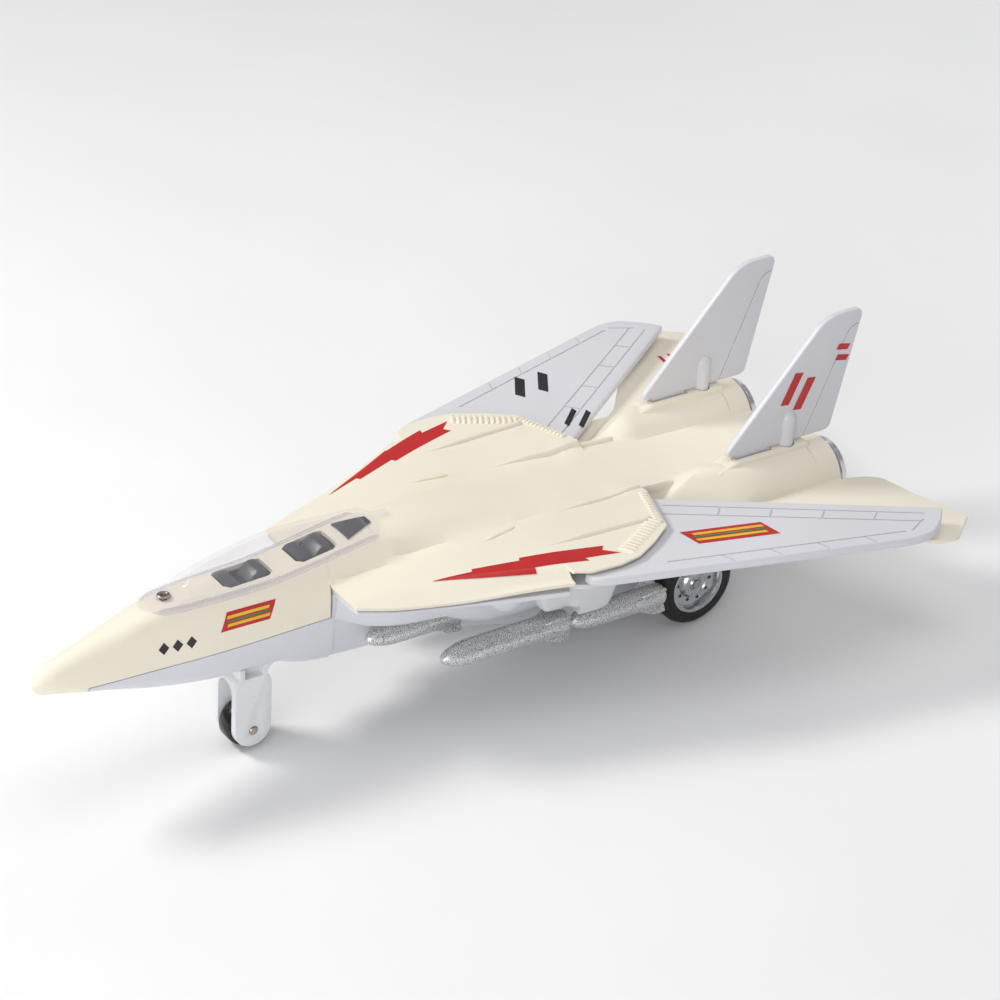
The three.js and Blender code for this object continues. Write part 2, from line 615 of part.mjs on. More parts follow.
function canopy() {
  const stations = [27, 28.5, 31, 34, 38, 45, 53, 62, 72, 80, 86, 88, 89, 93];
  const outer = loft(stations.map((s) => canopyRing(s, 0)));
  const inner = loft([38, 45, 53, 62, 72, 80, 85.5].map((s) => canopyRing(s, 0.9)));
  const hole = uprightRod(RIVET.shank + GAP, RIVET.station, 0, 40, 60, 12);
  const seat = uprightRod(RIVET.head + GAP, RIVET.station, 0, canopyTopZ(RIVET.station) - 0.1, 60, 16);
  return cut(outer, inner, hole, seat);
}

// One tub under both cockpits, with a seat and an instrument hood standing in each.
function cockpitTub() {
  const tray = box([45.6, 78.4], [-4.7, 4.7], [40, 43.8]);
  const wells = COCKPITS.map(({ from, to }) => box([from + 1, to - 1], [-3.4, 3.4], [41.2, 60]));
  const seats = COCKPITS.map(({ to, top }) => sidePrism(
    [[to - 5.4, 40.5], [to - 5.4, top - 2], [to - 4, top], [to - 1.8, top], [to - 1, 40.5]], -2.7, 2.7));
  const hoods = COCKPITS.map(({ from, top }) => sidePrism(
    [[from + 0.7, 40.5], [from + 0.7, top - 1.6], [from + 3, top - 0.8], [from + 4.4, 40.5]], -2.9, 2.9));
  return join(cut(tray, ...wells), ...seats, ...hoods);
}

function finOutline() {
  const shape = new THREE.Shape();
  const to = (station, z) => [-station, z];
  shape.moveTo(...to(182.4, 51.2));
  shape.quadraticCurveTo(...to(180, 51.2), ...to(181.4, 53.2));
  shape.lineTo(...to(205.8, 80.4));
  shape.quadraticCurveTo(...to(208.4, 83.4), ...to(213, 83.7));
  shape.lineTo(...to(217.6, 83.8));
  shape.quadraticCurveTo(...to(220.4, 83.8), ...to(219.9, 81.2));
  shape.lineTo(...to(213.8, 52.6));
  shape.quadraticCurveTo(...to(213.5, 51.4), ...to(211, 51.2));
  shape.lineTo(...to(193.8, 51.2));
  shape.lineTo(...to(193.8, 46));
  shape.lineTo(...to(183.6, 46));
  shape.lineTo(...to(183.6, 51.2));
  return shape;
}
// Each fin stands on a tab and on a round post that shows on both of its faces.
const FIN_POST = { station: 199.7, radius: 1.9, foot: 47.2, top: 58.5 };
function fin(side) {
  const { station, radius, foot, top } = FIN_POST;
  const y = side * FIN_Y;
  const blade = sidePrism(finOutline(), y - FIN_THICK / 2, y + FIN_THICK / 2, 4);
  const dome = solid(new THREE.SphereGeometry(radius, 16, 8).translate(-station, y, top));
  return join(blade, uprightRod(radius, station, y, foot, top, 16), dome);
}

// Each nozzle plugs into the tail of its nacelle by a spigot.
const SPIGOT = { radius: 5, start: 201, drop: 3 };
function nozzleSocket(side) {
  const radius = SPIGOT.radius + GAP;
  const start = SPIGOT.start - 1;
  const profile = [[0, start], [radius, start], [radius, TAIL_END + 3], [0, TAIL_END + 3]];
  return turnedAlong(profile, side * NACELLE.y, NACELLE.z - SPIGOT.drop);
}
// Chrome exhaust: a spigot, and a shallow tapered ring around a dished face.
function nozzle(side) {
  const front = TAIL_END + GAP;
  const rear = front + 2.6;
  const profile = [[0, front], [9, front], [9, front + 0.9], [8.4, rear], [7.6, rear], [7.4, front + 1.2],
    [0, front + 1.2]];
  const cup = turnedAlong(profile, side * NACELLE.y, NACELLE.z);
  const { radius, start, drop } = SPIGOT;
  const spigot = turnedAlong([[0, start], [radius, start], [radius, front + 1], [0, front + 1]],
    side * NACELLE.y, NACELLE.z - drop);
  return join(cup, spigot);
}

// ------------------------------------------------------------------ missiles
const MISSILES = [
  { name: "nose", nose: 79.5, tail: 106, y: 13, z: 27.2, radius: 2.9 },
  { name: "front", nose: 95, tail: 131.6, y: 22, z: 21.8, radius: 3.1 },
  { name: "rear", nose: 132.2, tail: 160.6, y: 22, z: 20.8, radius: 3 },
];
function missile({ nose, tail, y, z, radius }, side) {
  const tip = range(0, Math.PI / 2, 3).map((t) =>
    [radius * Math.sin(t), nose + 9 * (1 - Math.cos(t))]);
  const tube = turnedAlong([...tip, [radius, tail - 2], [radius - 0.8, tail], [0, tail]], side * y, z, 10);
  const reach = radius + 1.7;
  const fins = [Math.PI / 4, -Math.PI / 4].map((turn) => {
    const outline = [[tail - 9, 0], [tail - 5, reach], [tail - 1, reach], [tail - 0.6, -reach],
      [tail - 5, -reach]];
    const blade = extrude(outline, 0.9).translate(0, 0, -0.45).rotateX(turn);
    return solid(blade.translate(0, side * y, z));
  });
  return join(tube, ...fins);
}
// Hollows that keep the belly clear of the forward missiles.
function missileRoom() {
  const { nose, tail, y, z, radius } = MISSILES[0];
  return [1, -1].map((side) => {
    const room = radius + GAP;
    return turnedAlong([[0, nose - 4], [room, nose], [room, tail - 8], [room + 2.3, tail - 6],
      [room + 2.3, tail + 1], [0, tail + 1]], side * y, z, 16);
  });
}
// Each rack hangs under the glove and carries the front and rear missiles.
const RACK = { y: 22, half: 3.1 };
const rackBottom = along([120.5, 33], [123.5, 27.4], [127, 26.2], [130.8, 26], [132.8, 23], [136, 22.2],
  [141, 22.2], [143.4, 24.5], [145.5, 33]);
function rack(side) {
  const y = side * RACK.y;
  const roof = FLOOR_BOTTOM - GAP;
  const stations = [120.5, 122, 124, 127, 131, 133, 136, 141, 143.4, 145.5];
  const block = loft(stations.map((s) =>
    arch(s, RACK.half, roof, roof - rackBottom(s), -1, 3.4, 6).map(([x, v, z]) => [x, y + v, z])));
  const [, front, rear] = MISSILES;
  const cradle = [[front, front.radius + 2.3], [rear, rear.radius + GAP]].map(([m, room]) =>
    turnedAlong([[0, m.nose], [room, m.nose], [room, m.tail + 2], [0, m.tail + 2]], y, m.z, 12));
  return cut(block, ...cradle, nacelle(side).translate([0, side * GAP, -GAP]));
}

// ----------------------------------------------------------------- nose gear
// Side view of the fork: round at the foot, with a shoulder and a narrower neck.
function forkOutline() {
  const foot = { station: 54.4, z: 6.2, radius: 4.9 };
  const shape = new THREE.Shape();
  shape.absarc(-foot.station, foot.z, foot.radius, 0, -Math.PI, true);
  [[59.3, 17.6], [58, 20.2], [58.6, 22], [61, 23.6], [50.6, 26], [50.6, 20.6], [49.5, 18]].forEach(
    ([station, v]) => shape.lineTo(-station, v));
  return shape;
}
function noseFork() {
  const { station, z, half } = NOSE;
  const body = sidePrism(forkOutline(), -5, 5);
  const panel = (near, far) => box([52, 57], [near, far], [20.4, 30]);
  const neck = join(panel(3, 6), panel(-6, -3), box([45, 49.6], [-6, 6], [19, 30]));
  const inside = half + 0.6;
  const archFoot = 15.4;
  const slot = join(
    box([40, 70], [-inside, inside], [-2, archFoot]),
    turnedAlong([[0, 40], [inside, 40], [inside, 70], [0, 70]], 0, archFoot, 24),
  );
  const pin = crossRod(1.1 + SHAFT_GAP, station, z, -8, 8, 16);
  const belly = bellyLoft([30, 42, 54, 64, 73], (s) => seamZ(s));
  return cut(body, neck, slot, pin, belly.translate([0, 0, -GAP]));
}
function noseWheel() {
  const { station, z, tyre, half } = NOSE;
  const profile = [[1.3, -half], [4.9, -half], [tyre, -half + 0.8], [tyre, half - 0.8], [4.9, half],
    [1.3, half], [1.3, -half]];
  return turnedAcross(profile, station, z, 20);
}
const nosePin = () => crossRod(1.1, NOSE.station, NOSE.z, -5.3, 5.3, 16);

// --------------------------------------------------------------- rear wheels
function tyre(side) {
  const { inner, outer, tyre: radius, rim } = REAR;
  const bore = rim + 0.1;
  const profile = [[bore, inner], [radius - 1.2, inner], [radius, inner + 1], [radius, outer - 1],
    [radius - 1.2, outer], [bore, outer], [bore, inner]];
  return turnedAcross(profile.map(([r, y]) => [r, side * y]), REAR.station, REAR.z);
}
function rim(side) {
  const { inner, outer, rim: radius } = REAR;
  const bore = AXLE_RADIUS + SHAFT_GAP;
  const profile = [[bore, inner - 1], [3, inner - 1], [3, inner + 0.4], [radius, inner + 0.4],
    [radius, outer + 0.1], [radius - 0.9, outer + 0.1], [radius - 1.1, outer - 1.8], [3.4, outer - 1.4],
    [3.2, outer - 0.5], [bore, outer - 0.5], [bore, inner - 1]];
  return turnedAcross(profile.map(([r, y]) => [r, side * y]), REAR.station, REAR.z);
}
function rearAxle() {
  const reach = REAR.outer - 0.3;
  return crossRod(AXLE_RADIUS, REAR.station, REAR.z, -reach, reach, 16);
}

// --------------------------------------------------------------------- motor
const gearRadius = (teeth) => (GEAR_MODULE * teeth) / 2;
const idlerReach = gearRadius(TEETH.pinion) + gearRadius(TEETH.crown);
const springReach = gearRadius(TEETH.small) + gearRadius(TEETH.spring);
const AXLE_AT = { x: -REAR.station, z: REAR.z };
const IDLER_AT = stepFrom(AXLE_AT, idlerReach, IDLER_BEARING);
const SPRING_AT = stepFrom(IDLER_AT, springReach, SPRING_BEARING);
function stepFrom({ x, z }, reach, bearing) {
  return { x: x + reach * Math.cos(bearing), z: z + reach * Math.sin(bearing) };
}
// A spur gear in the side plane; phase is the bearing of one of its teeth.
function spur(teeth, phase, at, [near, far]) {
  const shape = new THREE.Shape(toothedPoints(GEAR_MODULE, teeth, phase, 0, teeth));
  return solid(extrude(shape, far - near).rotateX(Math.PI / 2).translate(at.x, far, at.z));
}
const rodAt = (radius, at, near, far, sides) => crossRod(radius, -at.x, at.z, near, far, sides);
const halfPitch = (teeth) => Math.PI / teeth;

function axlePinion() {
  const gear = spur(TEETH.pinion, IDLER_BEARING, AXLE_AT, GEAR_LAYER.crown);
  return cut(gear, rodAt(AXLE_RADIUS + SHAFT_GAP, AXLE_AT, -9, 9, 16));
}
function idlerGear() {
  const crownPhase = IDLER_BEARING + Math.PI + halfPitch(TEETH.crown);
  return join(
    spur(TEETH.crown, crownPhase, IDLER_AT, GEAR_LAYER.crown),
    spur(TEETH.small, SPRING_BEARING, IDLER_AT, [GEAR_LAYER.crown[1] - 0.1, GEAR_LAYER.spring[1]]),
    rodAt(1, IDLER_AT, -CASE.half, CASE.half, 16),
  );
}
function springGear() {
  const phase = SPRING_BEARING + Math.PI + halfPitch(TEETH.spring);
  return join(
    spur(TEETH.spring, phase, SPRING_AT, GEAR_LAYER.spring),
    rodAt(2.2, SPRING_AT, GEAR_LAYER.spring[1] - 0.1, GEAR_LAYER.coil[1] + 0.4, 16),
    rodAt(1, SPRING_AT, -CASE.half, CASE.half, 16),
  );
}
// The mainspring is a flat strip wound outward from the arbor.
function mainspring() {
  const turns = 4.5;
  const thick = 0.5;
  const inner = 2.9;
  const outer = 9;
  const steps = range(0, 1, 54);
  const at = (t, offset) => {
    const angle = t * turns * 2 * Math.PI;
    const r = inner + (outer - inner) * t + offset;
    return new THREE.Vector2(SPRING_AT.x + r * Math.cos(angle), SPRING_AT.z + r * Math.sin(angle));
  };
  const outline = [...steps.map((t) => at(t, 0)), ...steps.map((t) => at(t, thick)).reverse()];
  const [near, far] = GEAR_LAYER.coil;
  return solid(extrude(new THREE.Shape(outline), far - near).rotateX(Math.PI / 2).translate(0, far, 0));
}
// Each half of the motor's box is open at the middle and bored for the shafts.
function motorCase(side) {
  const { front, rear, bottom, top, half, wall } = CASE;
  const ys = (near, far) => (side > 0 ? [near, far] : [-far, -near]);
  const block = box([front, rear], ys(GAP / 2, half), [bottom, top]);
  const room = box([front + wall, rear - wall], ys(-1, half - wall), [bottom + wall, top - wall]);
  const bores = [[AXLE_RADIUS, AXLE_AT], [1, IDLER_AT], [1, SPRING_AT]].map(([radius, at]) =>
    rodAt(radius + SHAFT_GAP, at, -half - 1, half + 1, 16));
  return cut(block, room, ...bores);
}

// -------------------------------------------------------------------- screws
function screw({ station, y, seat }) {
  const { shank, head, headTall, grip } = SCREW;
  const depth = [seat - headTall - 1, seat - headTall + 0.6];
  const slot = (long, wide) => box([station - long, station + long], [y - wide, y + wide], depth);
  const drive = join(slot(1.5, 0.3), slot(0.3, 1.5));
  const body = join(
    uprightRod(head, station, y, seat - headTall, seat - GAP, 16),
    uprightRod(shank, station, y, seat - GAP - 0.2, seat + grip - 1, 12),
  );
  return cut(body, drive);
}

// ------------------------------------------------------------------ assembly
function eachSide(build) {
  return [["left", 1], ["right", -1]].flatMap(([word, side]) => build(word, side));
}
function airframe() {
  const group = new THREE.Group();
  group.add(
    mesh("upper_body", upperBody(), CREAM),
    mesh("lower_body", lowerBody(), BELLY),
    mesh("canopy", canopy(), CLEAR),
    mesh("canopy_rivet", canopyRivet(), STEEL),
    mesh("cockpit_tub", cockpitTub(), DARK),
    mesh("nose_gear_fork", noseFork(), WHITE),
    mesh("nose_wheel", noseWheel(), BLACK),
    mesh("nose_wheel_pin", nosePin(), BRASS),
    mesh("rear_axle", rearAxle(), STEEL),
    mesh("axle_pinion", axlePinion(), NYLON),
    mesh("idler_gear", idlerGear(), NYLON),
    mesh("spring_gear", springGear(), NYLON),
    mesh("mainspring", mainspring(), STEEL),
    ...SCREWS.map((entry) => mesh(entry.name, screw(entry), STEEL)),
    ...eachSide((word, side) => [
      wingGroup(`${word}_wing`, side),
      mesh(`${word}_fin`, fin(side), LILAC),
      mesh(`${word}_nozzle`, nozzle(side), CHROME),
      mesh(`${word}_missile_rack`, rack(side), WHITE),
      mesh(`${word}_tyre`, tyre(side), BLACK),
      mesh(`${word}_rim`, rim(side), CHROME),
      mesh(`${word}_motor_case`, motorCase(side), NYLON),
      ...MISSILES.map((entry) =>
        mesh(`${word}_${entry.name}_missile`, missile(entry, side), SILVER)),
    ]),
  );
  return group;
}

// Pitch the airframe until the nose and rear wheels both stand on the ground.
function stand(group) {
  const wheelbase = REAR.station - NOSE.station;
  const rise = REAR.z - NOSE.z;
  const ground = Math.asin((REAR.tyre - NOSE.tyre) / Math.hypot(wheelbase, rise));
  const pitch = Math.atan2(rise, wheelbase) - ground;
  group.rotation.y = -pitch;
  group.position.x = OUTLINE_MIDDLE;
  group.position.z = REAR.tyre + REAR.station * Math.sin(pitch) - REAR.z * Math.cos(pitch);
  return group;
}

const toy = new THREE.Group();
toy.add(stand(airframe()));
export default toy;
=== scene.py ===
import json
import math

import bmesh
import bpy
from mathutils import Matrix, Vector
from mathutils.geometry import tessellate_polygon


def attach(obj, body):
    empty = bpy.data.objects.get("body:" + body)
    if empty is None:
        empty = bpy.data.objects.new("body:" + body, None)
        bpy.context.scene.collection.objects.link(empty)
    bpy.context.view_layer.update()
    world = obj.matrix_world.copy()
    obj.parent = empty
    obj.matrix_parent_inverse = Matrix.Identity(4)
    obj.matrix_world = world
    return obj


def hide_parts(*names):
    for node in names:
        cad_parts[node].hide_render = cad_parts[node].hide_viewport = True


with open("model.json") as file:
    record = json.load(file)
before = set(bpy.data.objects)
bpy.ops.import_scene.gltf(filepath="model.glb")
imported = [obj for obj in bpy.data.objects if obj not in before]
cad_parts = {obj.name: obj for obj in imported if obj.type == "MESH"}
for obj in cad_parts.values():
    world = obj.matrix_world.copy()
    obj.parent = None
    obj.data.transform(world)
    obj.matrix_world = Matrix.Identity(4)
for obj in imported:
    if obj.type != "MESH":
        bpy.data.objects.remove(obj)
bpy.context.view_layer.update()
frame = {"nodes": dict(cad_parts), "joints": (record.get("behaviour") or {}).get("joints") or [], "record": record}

# The visual model of a toy swing-wing jet. Shapes are drawn in millimetres in the
# level airframe: x = -station, where a station is the distance aft of the nose tip,
# +Y to port and +Z up. The airframe matrix then pitches them into the CAD frame.
JOINTS = {joint["name"]: joint for joint in frame["joints"]}
MM = 0.001
GAP = 0.3                # clearance between pieces that touch
SIDES = (("left", 1), ("right", -1))
WELD = 2e-6              # metres within which a piece's points are joined
SHELL_SHARP = 32         # degrees above which an edge of the shell stays sharp
BUMP_DEPTH = 0.0001
SKIN_GRAIN = 900         # scale of the fine grain of moulded and plated surfaces

REAR = {"station": 172.7, "z": 19.0, "tyre": 11.15, "rim": 7.6, "inner": 14.2, "outer": 21.4}
RIM_HOLES = {"count": 10, "circle": 4.9, "radius": 0.5}
NOSE = {"station": 54.5, "z": 5.5, "tyre": 5.55, "half": 2.6}
PIVOT = {"station": 137.0, "y": 30.0, "z": 45.9}
WING_THICK = 2.4
WING_LINE = {"width": 0.42, "depth": 0.35}
FIN_LINE = {"width": 0.4, "depth": 0.3}
NACELLE = {"y": 18.0, "z": 40.0, "radius": 9.6}
GLOVE_FRONT = 72.0
POD_FRONT = 73
COVER_FRONT = 120.3
COVER_REAR = 158.0
TAIL_END = 211.0
FLOOR_BOTTOM = 39.8
FLOOR_FRONT = GLOVE_FRONT + 0.6
FLOOR_JOIN = 40.2        # where the belly meets the floor plate
GLOVE_END = 120
TIP_LENGTH = 2.0
CONE_END = 11.6
AFT_DECK = 42.2
AFT_HALF = NACELLE["y"] + NACELLE["radius"]
SCREW_HOLE = 2.6         # radius of the holes under the body and pivot screws
AXLE_HOLE = 1.75         # radius of the rear axle's hole in the belly
RIVET_HOLE = 1.1         # radius of the rivet's hole in the shell and the canopy
SEAT_FOOT = 40.6         # lower end of the seats and hoods, inside the tray
WING_TRAIL = 0.675       # slope of the wing's trailing edge, in y per station
FIN_Y = 17.2
FIN_THICK = 1.8
FIN_POST = {"station": 199.7, "radius": 2.2, "foot": 47.3, "top": 57.6}
RACK = {"y": 22.0, "half": 3.1, "front": 120.5, "rear": 145.5}
RIVET_STATION = 33.3


def airframe_matrix():
    """Level airframe to CAD frame, from the wing's axis and the rear axle's place."""
    tilt = Vector(JOINTS["right_wing_sweep"]["axis"])
    pitch = math.atan2(-tilt.x, tilt.z)
    turn = Matrix.Rotation(-pitch, 4, "Y")
    axle = Vector(JOINTS["rear_axle_spin"]["pos_m"])
    local = Vector((-REAR["station"], 0, REAR["z"])) * MM
    move = Matrix.Translation(axle - turn @ local)
    return move @ turn @ Matrix.Scale(MM, 4)


AIRFRAME = airframe_matrix()


def wing_matrix(side):
    """The wing's own frame, about its pivot, to the CAD frame."""
    name = "left_wing_sweep" if side > 0 else "right_wing_sweep"
    axis = Vector(JOINTS[name]["axis"]) * -side
    level = AIRFRAME.to_3x3().inverted() @ axis
    dihedral = math.atan2(-level.y, level.z)
    place = Matrix.Translation((-PIVOT["station"], side * PIVOT["y"], PIVOT["z"]))
    return AIRFRAME @ place @ Matrix.Rotation(dihedral, 4, "X")


# ---- camera, stage
CAMERA_AT = Vector((327.6, 498.2, 414.6)) * MM
CAMERA_BACK = Vector((0.47981, 0.70200, 0.52630))
CAMERA_LENS = 105.6


def add_object(name, data):
    """Puts a new object into the scene."""
    item = bpy.data.objects.new(name, data)
    bpy.context.scene.collection.objects.link(item)
    return item


def add_camera():
    data = bpy.data.cameras.new("camera")
    data.lens = CAMERA_LENS
    data.sensor_width = 36
    data.clip_start = 0.01
    camera = add_object("camera", data)
    camera.location = CAMERA_AT
    camera.rotation_euler = CAMERA_BACK.to_track_quat("Z", "Y").to_euler()
    bpy.context.scene.camera = camera


def add_light(name, place, size, energy, colour=(1, 1, 1)):
    """A square area light that faces the origin."""
    data = bpy.data.lights.new(name, "AREA")
    data.size = size
    data.energy = energy
    data.color = colour
    light = add_object(name, data)
    light.location = place
    light.rotation_euler = Vector(place).to_track_quat("Z", "Y").to_euler()


def add_studio():
    world = bpy.data.worlds.new("studio")
    world.use_nodes = True
    sky = world.node_tree.nodes["Background"]
    sky.inputs["Color"].default_value = (0.93, 0.95, 1, 1)
    sky.inputs["Strength"].default_value = 0.3
    bpy.context.scene.world = world
    bpy.context.scene.view_settings.view_transform = "Standard"
    add_light("key", (0.42, -0.42, 0.62), 0.22, 4.1, (1, 0.985, 0.95))
    add_light("front", (0.62, 0.5, 0.3), 0.5, 2.7)
    add_light("above", (-0.1, 0.15, 0.9), 0.6, 2.0)
    add_light("rear", (-0.65, -0.1, 0.3), 0.4, 0.8)


# ---- materials
def node_material(name, colour, roughness, metallic=0.0, coat=0.0):
    material = bpy.data.materials.new(name)
    material.use_nodes = True
    shader = material.node_tree.nodes["Principled BSDF"]
    shader.inputs["Base Color"].default_value = (*colour, 1)
    shader.inputs["Roughness"].default_value = roughness
    shader.inputs["Metallic"].default_value = metallic
    shader.inputs["Coat Weight"].default_value = coat
    shader.inputs["Coat Roughness"].default_value = 0.15
    return material, material.node_tree, shader


def object_texture(tree, kind, scale, detail=4.0):
    """A noise or cell texture in the object's own coordinates."""
    place = tree.nodes.new("ShaderNodeTexCoord")
    texture = tree.nodes.new(kind)
    tree.links.new(place.outputs["Object"], texture.inputs["Vector"])
    texture.inputs["Scale"].default_value = scale
    if "Detail" in texture.inputs:
        texture.inputs["Detail"].default_value = detail
    return texture


def noise(tree, scale, detail=4.0):
    return object_texture(tree, "ShaderNodeTexNoise", scale, detail).outputs["Fac"]


def feed(tree, source, stops, socket):
    """Sends a value through a ramp of (position, colour) stops into a socket."""
    node = tree.nodes.new("ShaderNodeValToRGB")
    while len(node.color_ramp.elements) < len(stops):
        node.color_ramp.elements.new(0.5)
    for element, (place, colour) in zip(node.color_ramp.elements, stops):
        element.position = place
        element.color = (*colour, 1)
    tree.links.new(source, node.inputs["Fac"])
    tree.links.new(node.outputs["Color"], socket)


def add_bump(tree, shader, source, strength):
    bump = tree.nodes.new("ShaderNodeBump")
    bump.inputs["Strength"].default_value = strength
    bump.inputs["Distance"].default_value = BUMP_DEPTH
    tree.links.new(source, bump.inputs["Height"])
    tree.links.new(bump.outputs["Normal"], shader.inputs["Normal"])


def grey(value):
    return (value, value, value)


def mottled(name, dark, light, scale, roughness, bump=0.0, metallic=0.0):
    """A surface whose colour drifts slowly and whose skin has a fine grain."""
    material, tree, shader = node_material(name, light, roughness, metallic)
    drift = noise(tree, scale)
    feed(tree, drift, [(0.3, dark), (0.7, light)], shader.inputs["Base Color"])
    fine = noise(tree, SKIN_GRAIN)
    polish, wear = grey(roughness - 0.06), grey(roughness + 0.06)
    feed(tree, fine, [(0.3, polish), (0.7, wear)], shader.inputs["Roughness"])
    if bump:
        add_bump(tree, shader, fine, bump)
    return material


def cream_paint():
    """Ivory spray paint, with sparse dark specks and a fine orange peel."""
    material, tree, shader = node_material("cream_paint", (0.84, 0.77, 0.62), 0.48)
    specks = tree.nodes.new("ShaderNodeMath")
    specks.operation = "MULTIPLY"
    mixed = tree.nodes.new("ShaderNodeMix")
    mixed.data_type = "RGBA"
    mixed.inputs["B"].default_value = (0.36, 0.31, 0.25, 1)
    feed(tree, noise(tree, 30), [(0.3, (0.85, 0.785, 0.65)), (0.7, (0.89, 0.83, 0.70))], mixed.inputs["A"])
    cells = object_texture(tree, "ShaderNodeTexVoronoi", 420)
    feed(tree, cells.outputs["Distance"], [(0.05, grey(1)), (0.11, grey(0))], specks.inputs[0])
    feed(tree, noise(tree, 260), [(0.6, grey(0)), (0.66, grey(0.55))], specks.inputs[1])
    tree.links.new(specks.outputs["Value"], mixed.inputs["Factor"])
    tree.links.new(mixed.outputs["Result"], shader.inputs["Base Color"])
    add_bump(tree, shader, noise(tree, 1400), 0.25)
    return material


def missile_silver():
    """Coarse sparkling silver: fine bright and dark grains over a metal base."""
    material, tree, shader = node_material("missile_silver", (0.5, 0.5, 0.51), 0.36, 0.7)
    grain = noise(tree, 4800, 3)
    feed(tree, grain, [(0.38, grey(0.22)), (0.5, grey(0.7)), (0.6, grey(1))], shader.inputs["Base Color"])
    add_bump(tree, shader, grain, 0.5)
    return material


def clear_plastic(name, thin, thick):
    """Clear plastic with a faint lilac tint, seen through by an alpha between two values."""
    material, tree, shader = node_material(name, (0.70, 0.66, 0.73), 0.05, 0.0, 1.0)
    shader.inputs["Coat Roughness"].default_value = 0.03
    haze = noise(tree, 60)
    feed(tree, haze, [(0.3, grey(thin)), (0.7, grey(thick))], shader.inputs["Alpha"])
    feed(tree, haze, [(0.35, grey(0.04)), (0.75, grey(0.1))], shader.inputs["Roughness"])
    return material


# Dark and light tone, scale of the drift between them, roughness, bump and metallic.
LOOKS = {
    "wing_plastic": ((0.67, 0.67, 0.71), (0.72, 0.72, 0.76), 25, 0.42, 0.1),
    "belly_plastic": ((0.66, 0.67, 0.71), (0.71, 0.72, 0.76), 30, 0.36, 0.02),
    "fork_plastic": ((0.72, 0.73, 0.76), (0.78, 0.79, 0.81), 40, 0.32, 0.05),
    "cockpit_grey": ((0.022, 0.027, 0.027), (0.05, 0.058, 0.058), 120, 0.34, 0.2),
    "rivet_steel": ((0.2, 0.17, 0.15), (0.42, 0.38, 0.35), 900, 0.4, 0.3, 1.0),
    "pin_brass": ((0.42, 0.36, 0.25), (0.62, 0.56, 0.44), 900, 0.35, 0.3, 1.0),
    "shaft_steel": ((0.4, 0.41, 0.43), (0.56, 0.57, 0.59), 500, 0.3, 0.2, 1.0),
    "screw_steel": ((0.42, 0.43, 0.44), (0.6, 0.61, 0.62), 500, 0.34, 0.2, 1.0),
    "gear_nylon": ((0.72, 0.71, 0.66), (0.8, 0.79, 0.74), 200, 0.5, 0.1),
    "case_plastic": ((0.07, 0.08, 0.09), (0.12, 0.13, 0.15), 100, 0.5, 0.2),
    "chrome_plate": ((0.58, 0.58, 0.6), (0.72, 0.72, 0.74), 200, 0.16, 0.1, 1.0),
    "wheel_chrome": ((0.5, 0.51, 0.53), (0.66, 0.67, 0.69), 300, 0.18, 0.1, 1.0),
    "tyre_rubber": (grey(0.006), grey(0.014), 200, 0.55, 0.3),
    "nose_wheel_black": (grey(0.004), grey(0.008), 150, 0.22, 0.05),
    "mark_red": ((0.50, 0.014, 0.014), (0.56, 0.018, 0.018), 200, 0.42),
    "mark_black": (grey(0.012), grey(0.022), 200, 0.42),
    "mark_yellow": ((0.78, 0.48, 0.02), (0.86, 0.56, 0.04), 200, 0.42),
    "mark_green": ((0.03, 0.2, 0.06), (0.05, 0.26, 0.08), 200, 0.42),
}


def make_materials():
    made = {name: mottled(name, *look) for name, look in LOOKS.items()}
    made["cream_paint"] = cream_paint()
    made["missile_silver"] = missile_silver()
    made["clear_canopy"] = clear_plastic("clear_canopy", 0.08, 0.12)
    made["canopy_edge"] = clear_plastic("canopy_edge", 0.3, 0.38)
    return made


# ---- mesh helpers
def mesh_of(name, parts, matrix, weld=0.0):
    """A mesh of closed (points, faces) parts, placed by a matrix, with its faces outward."""
    points = []
    faces = []
    for part_points, part_faces in parts:
        base = len(points)
        points += [matrix @ Vector(point) for point in part_points]
        faces += [tuple(base + i for i in face) for face in part_faces]
    mesh = bpy.data.meshes.new(name)
    mesh.from_pydata(points, [], faces)
    built = bmesh.new()
    built.from_mesh(mesh)
    if weld:
        bmesh.ops.remove_doubles(built, verts=built.verts, dist=weld)
    bmesh.ops.recalc_face_normals(built, faces=built.faces)
    built.to_mesh(mesh)
    built.free()
    return mesh


def make_piece(name, parts, material, node, slot=None, body="airframe", matrix=AIRFRAME, sharp=35.0):
    """One object that rides a body and stands in for a CAD node or for a part of it."""
    piece = add_object(name, mesh_of(name, parts, matrix, WELD))
    piece.data.materials.append(MATERIALS[material])
    shade(piece.data, sharp)
    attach(piece, body)
    slot or material
    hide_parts(node)
    return piece


def shade(mesh, sharp):
    mesh.polygons.foreach_set("use_smooth", [True] * len(mesh.polygons))
    mesh.set_sharp_from_angle(angle=math.radians(sharp))


def carve(piece, cutters, matrix=AIRFRAME, sharp=35.0):
    """Cuts closed (points, faces) parts out of a piece."""
    mesh = mesh_of("cutter", cutters, matrix)
    cutter = add_object("cutter", mesh)
    apply_modifier(piece, "BOOLEAN", object=cutter, operation="DIFFERENCE", solver="EXACT",
                   use_self=True)
    bpy.data.objects.remove(cutter)
    bpy.data.meshes.remove(mesh)
    shade(piece.data, sharp)


def apply_modifier(piece, kind, **settings):
    modifier = piece.modifiers.new("step", kind)
    for key, value in settings.items():
        setattr(modifier, key, value)
    bpy.context.view_layer.update()
    graph = bpy.context.evaluated_depsgraph_get()
    result = bpy.data.meshes.new_from_object(piece.evaluated_get(graph), depsgraph=graph)
    piece.modifiers.remove(modifier)
    old = piece.data
    piece.data = result
    bpy.data.meshes.remove(old)


